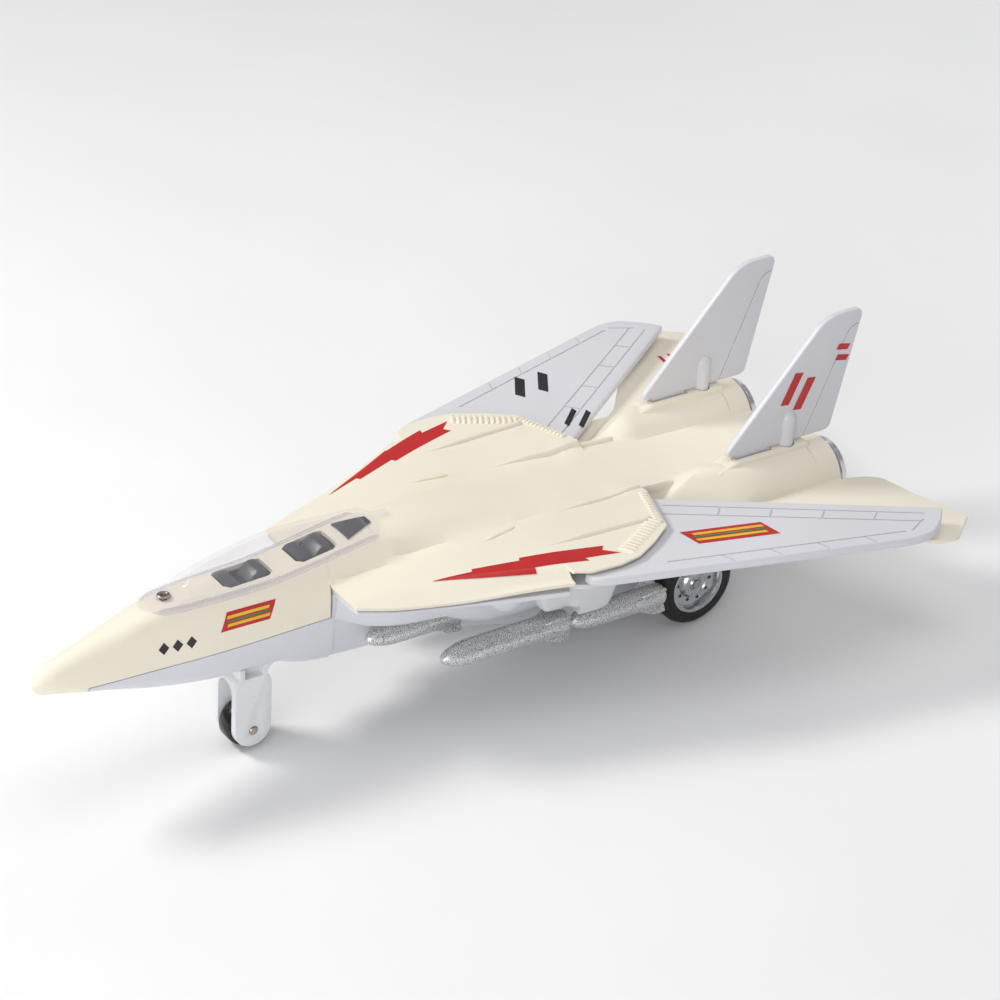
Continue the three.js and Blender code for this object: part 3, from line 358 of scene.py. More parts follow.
def soften(piece, width, segments=3, angle=35.0):
    """Rounds a piece's hard edges by a width in millimetres."""
    apply_modifier(piece, "BEVEL", width=width * MM, segments=segments, limit_method="ANGLE",
                   angle_limit=math.radians(angle), harden_normals=False)
    shade(piece.data, 40.0)


def cap_faces(count):
    """Faces that close a ring of points, in strips from its first point to the last."""
    faces = []
    for i in range((count - 1) // 2):
        opposite = count - 1 - i
        if opposite - 1 > i + 1:
            faces.append((i, i + 1, opposite - 1, opposite))
        else:
            faces.append((i, i + 1, opposite))
    return faces


def loft(rings):
    """A closed skin through rings of points."""
    count = len(rings[0])
    faces = []
    for r in range(len(rings) - 1):
        for i in range(count):
            near = (r * count + i, r * count + (i + 1) % count)
            faces.append((near[0], near[1], near[1] + count, near[0] + count))
    last = (len(rings) - 1) * count
    faces += [tuple(reversed(face)) for face in cap_faces(count)]
    faces += [tuple(last + i for i in face) for face in cap_faces(count)]
    return [point for ring in rings for point in ring], faces


def lathe(profile, place, sides=64):
    """A closed [radius, distance] profile turned about a line; place maps it to a point."""
    points = []
    faces = []
    count = len(profile)
    for k in range(sides):
        angle = 2 * math.pi * k / sides
        points += [place(radius * math.cos(angle), radius * math.sin(angle), far) for radius, far in profile]
    for k in range(sides):
        following = (k + 1) % sides
        for i in range(count):
            j = (i + 1) % count
            if profile[i][0] == 0 and profile[j][0] == 0:
                continue
            faces.append((k * count + i, k * count + j, following * count + j, following * count + i))
    return points, faces


def across(station, z):
    """Places a lathe about the crosswise line through a station and height."""
    return lambda a, b, far: (-station + a, far, z + b)


def lengthwise(y, z):
    """Places a lathe about the line along the airframe through y and z."""
    return lambda a, b, far: (-far, y + a, z + b)


def upright(station, y):
    """Places a lathe about the vertical line through a station and y."""
    return lambda a, b, far: (-station + a, y + b, far)


def rod(radius, low, high, place, sides=32):
    """A plain cylinder between two distances along its line."""
    return lathe([(0, low), (radius, low), (radius, high), (0, high)], place, sides)


def prism(shape, low, high, place):
    """A shape of (u, v) points between two levels; place maps (u, v, level)."""
    count = len(shape)
    points = [place(u, v, level) for level in (low, high) for u, v in shape]
    faces = [tuple(reversed(range(count))), tuple(range(count, 2 * count))]
    faces += [(i, (i + 1) % count, count + (i + 1) % count, count + i) for i in range(count)]
    return points, faces


def plan(u, v, level):
    return (-u, v, level)


def profile_plane(u, v, level):
    return (-u, level, v)


def block(stations, ys, zs):
    corners = [(stations[0], ys[0]), (stations[1], ys[0]), (stations[1], ys[1]), (stations[0], ys[1])]
    return prism(corners, zs[0], zs[1], plan)


def spaced(start, end, count):
    return [start + (end - start) * i / count for i in range(count + 1)]


def mix(a, b, share):
    return tuple(p + (q - p) * share for p, q in zip(a, b))


def on_side(side, points):
    """Points drawn for the port side, mirrored for the starboard side."""
    return [(u, side * v) for u, v in points]


def curve_to(start, control, end, count=8):
    """Points of a quadratic curve after its start."""
    points = []
    for t in spaced(0, 1, count)[1:]:
        a, b, c = (1 - t) ** 2, 2 * t * (1 - t), t * t
        points.append(tuple(a * p + b * q + c * r for p, q, r in zip(start, control, end)))
    return points


def arc(centre, radius, start, end, count):
    """Points of a circle between two angles in degrees."""
    turns = spaced(math.radians(start), math.radians(end), count)
    return [(centre[0] + radius * math.cos(t), centre[1] + radius * math.sin(t)) for t in turns]


def outline(start, *steps):
    """Points from a start, where a step is a corner or a curve's (control, end, count)."""
    points = [start]
    for step in steps:
        if isinstance(step[0], tuple):
            points += curve_to(points[-1], *step)
        else:
            points.append(step)
    return points


def strip(a, b, width):
    """Corners of a thin strip along the line from a to b."""
    length = math.dist(a, b)
    u = (b[1] - a[1]) / length * width / 2
    v = -(b[0] - a[0]) / length * width / 2
    return [(a[0] + u, a[1] + v), (b[0] + u, b[1] + v), (b[0] - u, b[1] - v), (a[0] - u, a[1] - v)]


# ---- lines of the airframe
def locate(pairs, station):
    """The stretch of the pairs that holds a station, and how far along it that is."""
    s = min(max(station, pairs[0][0]), pairs[-1][0])
    i = max(next(k for k, pair in enumerate(pairs) if pair[0] >= s) - 1, 0)
    return i, (s - pairs[i][0]) / (pairs[i + 1][0] - pairs[i][0])


def along(*pairs):
    """A smooth function through (station, value) pairs."""
    def slope(i):
        a = pairs[max(i - 1, 0)]
        b = pairs[min(i + 1, len(pairs) - 1)]
        return (b[1] - a[1]) / (b[0] - a[0])

    def value(station):
        i, t = locate(pairs, station)
        (s0, v0), (s1, v1) = pairs[i], pairs[i + 1]
        lean = slope(i) * t * (1 - t) ** 2 - slope(i + 1) * t * t * (1 - t)
        return v0 + (v1 - v0) * t * t * (3 - 2 * t) + lean * (s1 - s0)
    return value


def straight(*pairs):
    """A function made of straight stretches through (station, value) pairs."""
    def value(station):
        i, t = locate(pairs, station)
        return pairs[i][1] + (pairs[i + 1][1] - pairs[i][1]) * t
    return value


def smooth_step(value, low, high):
    t = min(max((value - low) / (high - low), 0), 1)
    return t * t * (3 - 2 * t)


def smooth_max(a, b, blend):
    t = min(max(0.5 + (a - b) / (2 * blend), 0), 1)
    return b + (a - b) * t + blend * t * (1 - t)


def smooth_min(a, b, blend):
    return -smooth_max(-a, -b, blend)


seam_z = along((11, 31.3), (27, 31.8), (52, 32.5), (74, 34))
top_z = along((0, 34.2), (2, 35.9), (5, 37.4), (18, 41.9), (30, 45.4), (47, 46.4), (60, 46.9), (72, 48.6),
              (85, 50.6), (96, 51.2), (110, 50.4), (130, 48.5), (150, 46.5), (170, 45.2), (207, 44.2))
keel_z = along((0, 30.8), (2, 30.1), (5, 29.7), (12, 28.8), (28, 25.4), (42, 23.5), (59, 23.2), (66, 21),
               (75, 20), (98, 19.4), (117, 16.6), (138, 12.2), (165, 11.9), (182, 12), (192, 20), (206, 33))
body_half = along((0, 1.5), (2, 2.5), (5, 3.6), (12, 5), (27, 6.4), (40, 7.5), (52, 8.1), (65, 8.9),
                  (74, 9.6), (100, 11), (130, 11.9), (188, 11.9), (206, 9))
belly_square = along((0, 2), (14, 2.1), (30, 3.4), (74, 4), (110, 4.4), (136, 8), (184, 8), (200, 4))
squareness = along((0, 2), (12, 2.15), (30, 3.2), (60, 3.6), (74, 3.4), (100, 2.2), (TAIL_END, 2.2))
glove_edge_y = along((72, 20.5), (80, 24.2), (91, 28.3), (102, 32.2), (112, 36), (120, 39.4))
glove_edge_z = along((72, 42.3), (80, 41.9), (91, 42), (102, 42.4), (112, 43), (120, 43.6))
glove_top_z = along((72, 42.9), (80, 44), (90, 45.2), (100, 46.2), (112, 47.1), (122, 47.6), (152, 47.6),
                    (158, 47.4))
bevel_slope = along((72, 0.5), (90, 0.6), (120, 1.1))
cover_edge_y = straight((COVER_FRONT, 38.4), (124, 40.6), (132, 41.2), (138, 40.2), (145, 36.6), (152, 31.9),
                        (COVER_REAR, 16))
spine_base = along((72, 34), (84, 38.5), (100, 42.5), (130, 45.6), (150, 45.4), (158, 45.2))


def dome(share, n):
    """Height of a rounded-square dome of height 1 at a share of its half width."""
    return (1 - share ** n) ** (1 / n)


def spine_height(station, y):
    base = spine_base(station)
    share = abs(y) / body_half(station)
    if share >= 1:
        return base
    return base + (top_z(station) - base) * dome(share, squareness(station))


def deck_height(station, y):
    """Top of the shell over the glove, with a valley beside the spine and a bevelled edge."""
    off = abs(y)
    valley = 1.2 * math.exp(-(((off - 11.5) / 3) ** 2))
    valley *= smooth_step(station, 108, 125) * (1 - smooth_step(station, 148, 156))
    middle = min(glove_top_z(station), top_z(station))
    sheet = middle + (glove_top_z(station) - middle) * smooth_step(off, 9, 15) - valley
    if station <= GLOVE_END + 0.01:
        bevel = glove_edge_z(station) + (glove_edge_y(station) - off) * bevel_slope(station)
        sheet = smooth_min(sheet, bevel, 0.4)
    return smooth_max(spine_height(station, y), sheet, 0.8)


def aft_height(station, y):
    """Top of the deck behind the wings, with a hump over each engine."""
    off = abs(y)
    spine = AFT_DECK + (top_z(station) - AFT_DECK) * (1 - smooth_step(off, 12.6, 15.6))
    start = COVER_REAR + 2.5 + max(off - 16, 0) / WING_TRAIL
    share = min(abs(off - NACELLE["y"]) / NACELLE["radius"], 1)
    hump = NACELLE["z"] + NACELLE["radius"] * math.sqrt(1 - share ** 2)
    grown = AFT_DECK + max(hump - AFT_DECK, 0) * smooth_step(station, start, start + 15)
    return smooth_max(spine, grown, 0.6)


def fuselage_top(station, y):
    if station >= GLOVE_FRONT:
        return deck_height(station, y)
    share = min(abs(y) / body_half(station), 1)
    rise = top_z(station) - seam_z(station)
    return seam_z(station) + rise * dome(share, squareness(station))


def shell_top(station, y):
    return aft_height(station, y) if station > COVER_REAR else fuselage_top(station, y)


# ---- upper shell
def power(value, exponent):
    return math.copysign(abs(value) ** exponent, value)


def arch(station, half, base, rise, up, n, count, y=0):
    """Half of a rounded-square section above or below a height, about a line at y."""
    return [(-station, y + half * power(math.sin(a), 2 / n), base + up * rise * power(math.cos(a), 2 / n))
            for a in spaced(-math.pi / 2, math.pi / 2, count)]


def nose_ring(station, wall=1.1):
    seam = seam_z(station)
    half = body_half(station)
    n = squareness(station)
    rise = top_z(station) - seam
    over = arch(station, half, seam, rise, 1, n, 56)
    under = arch(station, half - wall, seam, rise - wall, 1, n, 56)
    return over + under[::-1]


def cone_ring(station):
    """A section of the nose cone, whose tip is drawn in to a dome."""
    drawn = math.sqrt(1 - (1 - min(station / TIP_LENGTH, 1)) ** 2)
    top, keel = top_z(station), keel_z(station)
    centre = (top + keel) / 2
    middle = centre + (seam_z(station) - centre) * smooth_step(station, 3, CONE_END)
    over = arch(station, body_half(station), middle, top - middle, 1, squareness(station), 32)
    under = arch(station, body_half(station), middle, middle - keel, -1, belly_square(station), 32)
    return [(x, drawn * y, centre + drawn * (z - centre)) for x, y, z in over + under[-2:0:-1]]


def sheet_ring(station, edge, height, rim, thick, count=44):
    """A sheet across both sides at a height, with a rounded rim and an inner face."""
    shares = [math.sin(a) for a in spaced(-math.pi / 2, math.pi / 2, count)]
    over = [(-station, v * (edge - 0.15), height(station, v * edge)) for v in shares]
    over[0] = (-station, -edge + 0.12, over[0][2] - 0.05)
    over[-1] = (-station, edge - 0.12, over[-1][2] - 0.05)
    over = [(-station, -edge, over[0][2] - 0.25)] + over + [(-station, edge, over[-1][2] - 0.25)]
    inner = [v * (edge - 0.4) for v in [-1] + shares + [1]]
    under = [(-station, y, max(height(station, y) - thick, rim)) for y in inner]
    return over + under[::-1]


def cone_stations():
    """Stations from the nose tip aft, closest together where the tip is roundest."""
    return [0.02 + CONE_END * share ** 1.7 for share in spaced(0, 1, 24)]


def upper_shell_parts():
    nose = loft([nose_ring(s) for s in spaced(CONE_END, GLOVE_FRONT + 0.05, 60)])
    cone = loft([cone_ring(s) for s in cone_stations()])
    glove = loft([sheet_ring(s, glove_edge_y(min(s, GLOVE_END)), deck_height, glove_edge_z(s) - 0.9, 1.1)
                  for s in spaced(GLOVE_FRONT, GLOVE_END, 60)])
    cover_stations = spaced(119.95, 152, 44) + spaced(152, COVER_REAR, 16)[1:]
    cover = loft([sheet_ring(s, cover_edge_y(s), cover_height, 0, 0.9) for s in cover_stations])
    aft = loft([sheet_ring(s, AFT_HALF, aft_height, 41, 1.2, 90)
                for s in spaced(COVER_REAR - 0.4, TAIL_END, 60)])
    return [nose, cone, glove, cover, aft]


def cover_height(station, y):
    return deck_height(max(station, GLOVE_END + 0.02), y)


def tailplane_outline(side):
    points = outline((176, 26), (183, 31), (209, 60.6), ((213, 64.6), (218, 63.8)), (226.4, 57.6),
                     (225, 50.5), ((223.6, 47), (222.4, 42)), (220.8, 33), ((219.6, 29.6), (213, 27.8)),
                     (207.4, 27.1), (207.4, 24))
    return on_side(side, points)


COCKPITS = (
    {"name": "front", "start": 47.0, "end": 60.0, "half": 4.0, "head": 48.4},
    {"name": "rear", "start": 66.0, "end": 77.0, "half": 4.4, "head": 50.4},
)


def cockpit_cutters():
    """The openings over the two seats, with cut corners, and the rivet's hole."""
    cutters = []
    for seat in COCKPITS:
        start, end, half = seat["start"], seat["end"], seat["half"]
        port = [(start, half * 0.7), (start + 1.5, half), (end - 1.5, half), (end, half * 0.8)]
        cutters.append(prism(on_side(-1, port) + port[::-1], 42, 56, plan))
    cutters.append(rod(RIVET_HOLE, 40, 50, upright(RIVET_STATION, 0), 24))
    return cutters


def engine_band(side):
    """A curved bar over the top of an engine, which cuts the line behind the fin."""
    centre = (side * NACELLE["y"], NACELLE["z"])
    outer = arc(centre, NACELLE["radius"] + 2, 35, 145, 40)
    inner = arc(centre, NACELLE["radius"] - 0.3, 35, 145, 40)
    return prism(outer + inner[::-1], 204.3, 204.8, lambda u, v, station: (-station, u, v))


def fin_holes(y):
    """The slot and the round hole that a fin's tab and post drop into."""
    return [block((183.2, 194.8), (y - 1.4, y + 1.4), (43, 52)),
            rod(2.5, 43, 52, upright(FIN_POST["station"], y), 40)]


def shell_part(name, parts, sharp=35.0):
    return make_piece(name, parts, "cream_paint", "upper_body", sharp=sharp)


def make_upper_body():
    shell = shell_part("cream_shell", upper_shell_parts(), SHELL_SHARP)
    carve(shell, cockpit_cutters(), sharp=SHELL_SHARP)
    for _, side in SIDES:
        carve(shell, [engine_band(side)], sharp=SHELL_SHARP)
    for word, side in SIDES:
        sheet = prism(tailplane_outline(side), 41, AFT_DECK, plan)
        soften(shell_part(f"{word}_tailplane", [sheet]), 0.45)
        y = side * FIN_Y
        fairing = [(177, 46), (177, 48.6), (183, 50.6), (205.6, 50.6), (206.4, 47)]
        pad = shell_part(f"{word}_fin_pad", [prism(fairing, y - 2.8, y + 2.8, profile_plane)])
        soften(pad, 0.8, 4)
        for cutter in fin_holes(y):
            carve(shell, [cutter], sharp=SHELL_SHARP)
            carve(pad, [cutter])


# ---- raised shell details
def bead(path, width, height, front=2.0, rear=2.0):
    """A rounded rib along (station, y) points on the shell, pointed over its first rings."""
    rings = []
    last = len(path) - 1
    for k, (station, y) in enumerate(path):
        before = path[max(k - 1, 0)]
        after = path[min(k + 1, last)]
        run = Vector((-(after[0] - before[0]), after[1] - before[1])).normalized()
        side = Vector((-run.y, run.x))
        fade = min(1, k / front + 0.05, (last - k) / rear + 0.05)
        ring = []
        for a in spaced(0, math.pi, 8):
            off = side * (width / 2 * fade * math.cos(a))
            px, py = -station + off.x, y + off.y
            ring.append((px, py, shell_top(-px, py) + height * fade * math.sin(a) - 0.02))
        ring += [(x, y, z - 0.4) for x, y, z in (ring[-1], ring[0])]
        rings.append(ring)
    return loft(rings)


def make_ridges():
    for word, side in SIDES:
        inner = [(s, side * 12.8) for s in spaced(129, 169, 60)]
        outer = [(s, side * (25.9 + 0.05 * (s - 121))) for s in spaced(121, 151, 50)]
        corner = [(s, side * (15.1 - 0.17 * (s - 115.8))) for s in spaced(109, 120, 20)]
        ribs = [bead(inner, 1.7, 1.0, 20), bead(outer, 1.7, 0.9, 16), bead(corner, 1.3, 0.5, 6, 3)]
        shell_part(f"{word}_ridges", ribs)


# Stretches of the edge that the wing slides under, with the ribs that cross each.
SEALS = (
    {"start": (137.5, 39.3), "end": (151.4, 31.4), "ribs": 11, "reach": 5.0, "run": (0.5, 0.87)},
    {"start": (152.4, 30.2), "end": (157.3, 17.2), "ribs": 12, "reach": 2.6, "run": (0.93, 0.36)},
)


def seal_ribs(seal, side):
    """Short ribs that run in from the edge."""
    parts = []
    for share in spaced(0, 1, seal["ribs"]):
        station, y = mix(seal["start"], seal["end"], share)
        tip = (station, side * y)
        root = (station - seal["reach"] * seal["run"][0], side * (y - seal["reach"] * seal["run"][1]))
        parts.append(bead([mix(root, tip, t) for t in spaced(0, 1, 8)], 1.1, 0.65))
    return parts


def make_seals():
    for word, side in SIDES:
        shell_part(f"{word}_wing_seal", [part for seal in SEALS for part in seal_ribs(seal, side)])


# ---- wings
def wing_outline(side):
    points = outline((122.9, 38.6), ((122.4, 41.6), (127, 43.4)), (198, 64), ((205.5, 66.3), (209.5, 64), 12),
                     ((215, 60.5), (218, 56.6), 12), (158.6, 16.4), ((156.5, 15.2), (154, 17)), (140, 22))
    points += arc((PIVOT["station"], PIVOT["y"]), 9, 270, 135, 16)
    return on_side(side, points)


def wing_local(u, v, level):
    """Wing outlines are drawn in place and moved to the pivot's own frame."""
    return (PIVOT["station"] - u, v - math.copysign(PIVOT["y"], v), level)


def groove(a, b, side):
    """A shallow straight cut in the wing's top from a to b, in stations and y."""
    corners = on_side(side, strip(a, b, WING_LINE["width"]))
    return prism(corners, -WING_LINE["depth"], 1, wing_local)


def wing_grooves(side):
    """Slat line behind the leading edge, flap lines at the trailing edge, ticks between."""
    slat = ((143, 44), (202, 61.4))
    leading = ((144.5, 48.6), (203, 65.2))
    flap = ((159, 21), (212, 56.8))
    inner_flap = ((156.5, 24.6), (209, 59.6))
    lines = [slat, flap, inner_flap, ((203.5, 61.9), (209.8, 58.9))]
    for t in (0.22, 0.42, 0.62, 0.82):
        lines.append((mix(*flap, t), mix(*inner_flap, t - 0.01)))
        lines.append((mix(*slat, t), mix(*leading, t)))
    return [groove(a, b, side) for a, b in lines]


def make_wings():
    for word, side in SIDES:
        node = f"{word}_wing"
        own = {"body": f"{word}_wing_arm", "matrix": wing_matrix(side)}
        plate = prism(wing_outline(side), -WING_THICK, 0, wing_local)
        wing = make_piece(f"{word}_wing_skin", [plate], "wing_plastic", node, **own)
        soften(wing, 0.75, 4)
        carve(wing, wing_grooves(side), matrix=own["matrix"])
        hub = lathe([(4.6, -3.8), (6.9, -3.8), (6.9, -2), (4.6, -2)], lambda a, b, far: (a, b, far), 40)
        make_piece(f"{word}_wing_hub", [hub], "wing_plastic", node, **own)


# ---- fins
def fin_outline():
    """Side view of a fin, with the tab under it."""
    return outline((182.4, 51.2), ((180.0, 51.2), (181.4, 53.2)), (205.8, 80.4), ((208.4, 83.4), (213, 83.7)),
                   (217.6, 83.8), ((220.4, 83.8), (219.9, 81.2), 6), (213.8, 52.6),
                   ((213.5, 51.4), (211, 51.2), 5), (193.8, 51.2), (193.8, 46), (183.6, 46), (183.6, 51.2))


def fin_post(y):
    """The round post under a fin, which shows on both of its faces and ends in a dome."""
    radius, top, foot = FIN_POST["radius"], FIN_POST["top"], FIN_POST["foot"]
    profile = [(0, foot), (radius - 0.2, foot), (radius, foot + 0.2)]
    profile += arc((0, top), radius, 0, 90, 10)
    return lathe(profile, upright(FIN_POST["station"], y), 40)


def fin_groove(points, y):
    """A rudder line cut in both faces of a fin through (station, z) points."""
    parts = []
    for a, b in zip(points, points[1:]):
        corners = strip(a, b, FIN_LINE["width"])
        for face in (-1, 1):
            near = y + face * (FIN_THICK / 2 - FIN_LINE["depth"])
            far = y + face * (FIN_THICK / 2 + 1)
            parts.append(prism(corners, min(near, far), max(near, far), profile_plane))
    return parts


def make_fins():
    rudder = outline((204.7, 51), (215.3, 77), ((216.4, 79.6), (219, 79.8), 5))
    for word, side in SIDES:
        y = side * FIN_Y
        node = f"{word}_fin"
        blade = prism(fin_outline(), y - FIN_THICK / 2, y + FIN_THICK / 2, profile_plane)
        fin = make_piece(f"{word}_fin_skin", [blade], "wing_plastic", node)
        soften(fin, 0.5, 4)
        carve(fin, fin_groove(rudder, y))
        make_piece(f"{word}_fin_post", [fin_post(y)], "wing_plastic", node)


# ---- lower shell
pod_middle = along((POD_FRONT, 8.4), (80, 12), (92, 14.4), (150, 14.8), (180, 18), (TAIL_END, 18))
pod_half = along((POD_FRONT, 2.4), (80, 4.8), (92, 6), (150, 6.2), (175, 8.4), (190, 9.6), (TAIL_END, 9.6))
pod_bottom = along((POD_FRONT, 33), (80, 31.6), (97, 31), (104, 28), (112, 25.4), (145, 25.6), (156, 31.4),
                   (186, 31.6), (TAIL_END, 30.6))
pod_square = along((POD_FRONT, 3), (92, 4.5), (150, 4), (186, 2.4), (TAIL_END, 2))


def belly_loft(stations, roof):
    """The lower half of the body under a roof height given by a function of the station."""
    return loft([arch(s, body_half(s), roof(s), roof(s) - keel_z(s), -1, belly_square(s), 40)
                 for s in stations])


def nacelle(side):
    rings = []
    for s in spaced(POD_FRONT, TAIL_END - GAP, 90):
        y = side * pod_middle(s)
        roof = 40.6 if s > COVER_REAR else 40.4
        rings.append(arch(s, pod_half(s), roof, roof - pod_bottom(s), -1, pod_square(s), 32, y))
    return loft(rings)


def floor_plate():
    """The flat floor under the glove and the cover, with a raised rim."""
    rings = []
    for s in spaced(FLOOR_FRONT, 157.2, 80):
        if s < GLOVE_END:
            edge = glove_edge_y(s) - 0.5
            top = glove_edge_z(s) - 1.2
        else:
            edge = min(cover_edge_y(s) - 1.6, 39.4)
            top = PIVOT["z"] - WING_THICK - 0.5
        edge = max(edge, 26) if s > 150 else edge
        rim = max(top - 1.3, FLOOR_BOTTOM + 0.4)
        port = [(edge - 3.4, FLOOR_BOTTOM), (edge - 0.5, rim - 0.2), (edge - 0.1, rim), (edge, rim + 0.3),
                (edge, top - 0.3), (edge - 0.1, top - 0.1), (edge - 0.3, top)]
        rings.append([(-s, y, z) for y, z in port] + [(-s, -y, z) for y, z in reversed(port)])
    return loft(rings)


def blister(side):
    """A low round bulge under the floor."""
    profile = [(math.sin(a), -math.cos(a)) for a in spaced(0, math.pi, 16)]
    return lathe(profile, lambda a, b, far: (6 * far - 111, side * 26 + 3.4 * a, 39.2 + 6 * b), 32)


def belly_part(name, parts):
    return make_piece(name, parts, "belly_plastic", "lower_body")


def make_belly():
    front = belly_loft(spaced(12, 73, 50), lambda s: seam_z(s) - 0.25)
    rear = belly_loft(spaced(FLOOR_FRONT, 206, 90), lambda s: FLOOR_JOIN)
    shell = belly_part("belly_shell", [front, rear])
    screws = [rod(SCREW_HOLE, head - 14, head, upright(s, 0)) for s, head in ((100, 21.8), (186.5, 17.4))]
    carve(shell, [rod(AXLE_HOLE, -30, 30, across(REAR["station"], REAR["z"]))] + screws)
    belly_part("belly_pad", [block((148, 166), (-6, 6), (11, 13))])


def make_floor_plate():
    plate = belly_part("glove_floor", [floor_plate()])
    pivots = [upright(PIVOT["station"], side * PIVOT["y"]) for _, side in SIDES]
    carve(plate, [rod(SCREW_HOLE, 26, 40.3, place) for place in pivots]
          + [rod(7.4, 41.2, 46, place, 40) for place in pivots])


def make_nacelles():
    """The engine pods, open at the front, and the bulge beside each."""
    intake = [(0, 75.5), (3.2, 79.5), (3.2, 98), (5.2, 100), (5.2, 107), (0, 107)]
    for word, side in SIDES:
        pod = belly_part(f"{word}_nacelle", [nacelle(side)])
        carve(pod, [lathe(intake, lengthwise(side * 13, 27.2), 32)])
        belly_part(f"{word}_blister", [blister(side)])


# ---- canopy
canopy_top = along((27, 45.6), (RIVET_STATION, 46.5), (36, 47.6), (41, 50.4), (51, 53.3), (61, 55),
                   (70, 54.9), (80, 54), (88, 52.7), (93, 51.9))
canopy_half = along((27, 1.2), (29.5, 3.6), (34, 4.7), (42, 5.4), (55, 6), (75, 6.3), (84, 6.2),
                    (87.6, 5.4), (88.6, 1.9), (93, 1.2))


def canopy_ring(station, inset=0.0):
    """A section of the canopy, or of the hollow in it when inset isn't 0."""
    half = max(canopy_half(station) - inset, 0.4)
    foot = GAP - (1.5 if inset else 0)
    brim = fuselage_top(station, half) + foot + (0 if inset else 0.7)
    crown = max(canopy_top(station) - inset - brim, 0.3)
    shares = spaced(-1, 1, 40)
    over = [(-station, half * math.sin(v * math.pi / 2), brim + crown * math.cos(v * math.pi / 2) ** 0.8)
            for v in shares]
    under = [(-station, half * v, fuselage_top(station, half * v) + foot) for v in shares]
    return over + under[::-1]


def make_canopy():
    outer = loft([canopy_ring(s) for s in spaced(27.02, 92.9, 130)])
    glass = make_piece("canopy_glass", [outer], "clear_canopy", "canopy")
    inner = loft([canopy_ring(s, 0.9) for s in spaced(38, 85.5, 90)])
    for word, side in SIDES:
        edge = [(s, side * (canopy_half(s) - 0.1)) for s in spaced(28.6, 87.2, 90)]
        rim = bead(edge, 1.0, 1.0, 4, 3)
        make_piece(f"{word}_canopy_rim", [rim], "canopy_edge", "canopy", "clear_canopy")
    top = canopy_top(RIVET_STATION)
    place = upright(RIVET_STATION, 0)
    bore = [(0, 40), (RIVET_HOLE, 40), (RIVET_HOLE, top - 0.1), (1.9, top - 0.1), (1.9, 60), (0, 60)]
    carve(glass, [inner, lathe(bore, place, 32)], sharp=30)
    head = [(0, top - 0.3), (0.55, top - 0.25), (0.75, top + 0.25), (1.0, top + 0.42), (1.35, top + 0.36),
            (1.58, top + 0.15), (1.6, top - 0.1), (0.8, top - 0.1), (0.8, 42.6), (0, 42.6)]
    make_piece("rivet_head", [lathe(head, place, 32)], "rivet_steel", "canopy_rivet")


def cockpit_part(name, parts):
    return make_piece(name, parts, "cockpit_grey", "cockpit_tub")


def seat_outline(end, head):
    """Side view of a seat back with its rounded head."""
    return outline((end - 6.4, SEAT_FOOT), (end - 6.2, head - 3.4),
                   ((end - 5, head - 1.8), (end - 3.6, head - 0.9)),
                   ((end - 2.2, head - 0.6), (end - 1.3, head - 1.2)), (end - 0.9, SEAT_FOOT))


def hood_outline(start, head):
    """Side view of the instrument hood ahead of a seat."""
    return outline((start + 0.6, SEAT_FOOT), (start + 0.6, head - 2.4),
                   ((start + 1.8, head - 1.3), (start + 4.2, head - 2)), (start + 5.6, SEAT_FOOT))


def make_cockpit():
    tub = cockpit_part("cockpit_tray", [block((45.6, 78.4), (-4.7, 4.7), (40, 43.8))])
    carve(tub, [block((seat["start"] + 1, seat["end"] - 1), (-3.4, 3.4), (41.2, 60)) for seat in COCKPITS])
    soften(tub, 0.3)
    for seat in COCKPITS:
        shapes = (("seat", seat_outline(seat["end"], seat["head"]), seat["half"] - 1.2),
                  ("hood", hood_outline(seat["start"], seat["head"]), seat["half"] - 0.9))
        for part, shape, width in shapes:
            piece = cockpit_part(f"{seat['name']}_{part}", [prism(shape, -width, width, profile_plane)])
            soften(piece, 0.5, 3)
    rings = []
    for s in spaced(79.8, 87.4, 16):
        edge = 3.8 - 0.32 * (s - 79.8)
        over = [(-s, y, deck_height(s, y) + 0.5) for y in spaced(-edge, edge, 12)]
        under = [(x, y, z - 0.9) for x, y, z in over]
        rings.append(over + under[::-1])
    cockpit_part("rear_shelf", [loft(rings)])


# ---- nozzles
def make_nozzles():
    """A short ring behind each engine, with a dished disc and a blunt cone inside it."""
    front = TAIL_END + GAP
    rear = front + 2.6
    ring = [(0, front), (9, front), (9, front + 0.7), (8.85, front + 0.9), (8.4, rear - 0.2), (8.25, rear),
            (7.8, rear), (7.6, rear - 0.2), (7.45, front + 1.2), (5.2, front + 1), (4.9, front + 0.7),
            (3.2, front + 0.7), (2.9, front + 1.3), (1.4, front + 2), (0, front + 2.2)]
    for word, side in SIDES:
        y, z = side * NACELLE["y"], NACELLE["z"]
        parts = [lathe(ring, lengthwise(y, z), 96), rod(5, 201, front + 0.1, lengthwise(y, z - 3), 48)]
        make_piece(f"{word}_exhaust_ring", parts, "chrome_plate", f"{word}_nozzle", sharp=28)


# ---- missiles
MISSILES = (
    {"name": "nose", "nose": 79.5, "tail": 106.0, "y": 13.0, "z": 27.2, "radius": 2.9},
    {"name": "front", "nose": 95.0, "tail": 131.6, "y": 22.0, "z": 21.8, "radius": 3.1},
    {"name": "rear", "nose": 132.2, "tail": 160.6, "y": 22.0, "z": 20.8, "radius": 3.0},
)


def turned(turn, y, z):
    """Places a blade drawn in (station, radius) at an angle about a missile's line."""
    c, s = math.cos(turn), math.sin(turn)
    return lambda u, v, level: (-u, y + v * c - level * s, z + v * s + level * c)


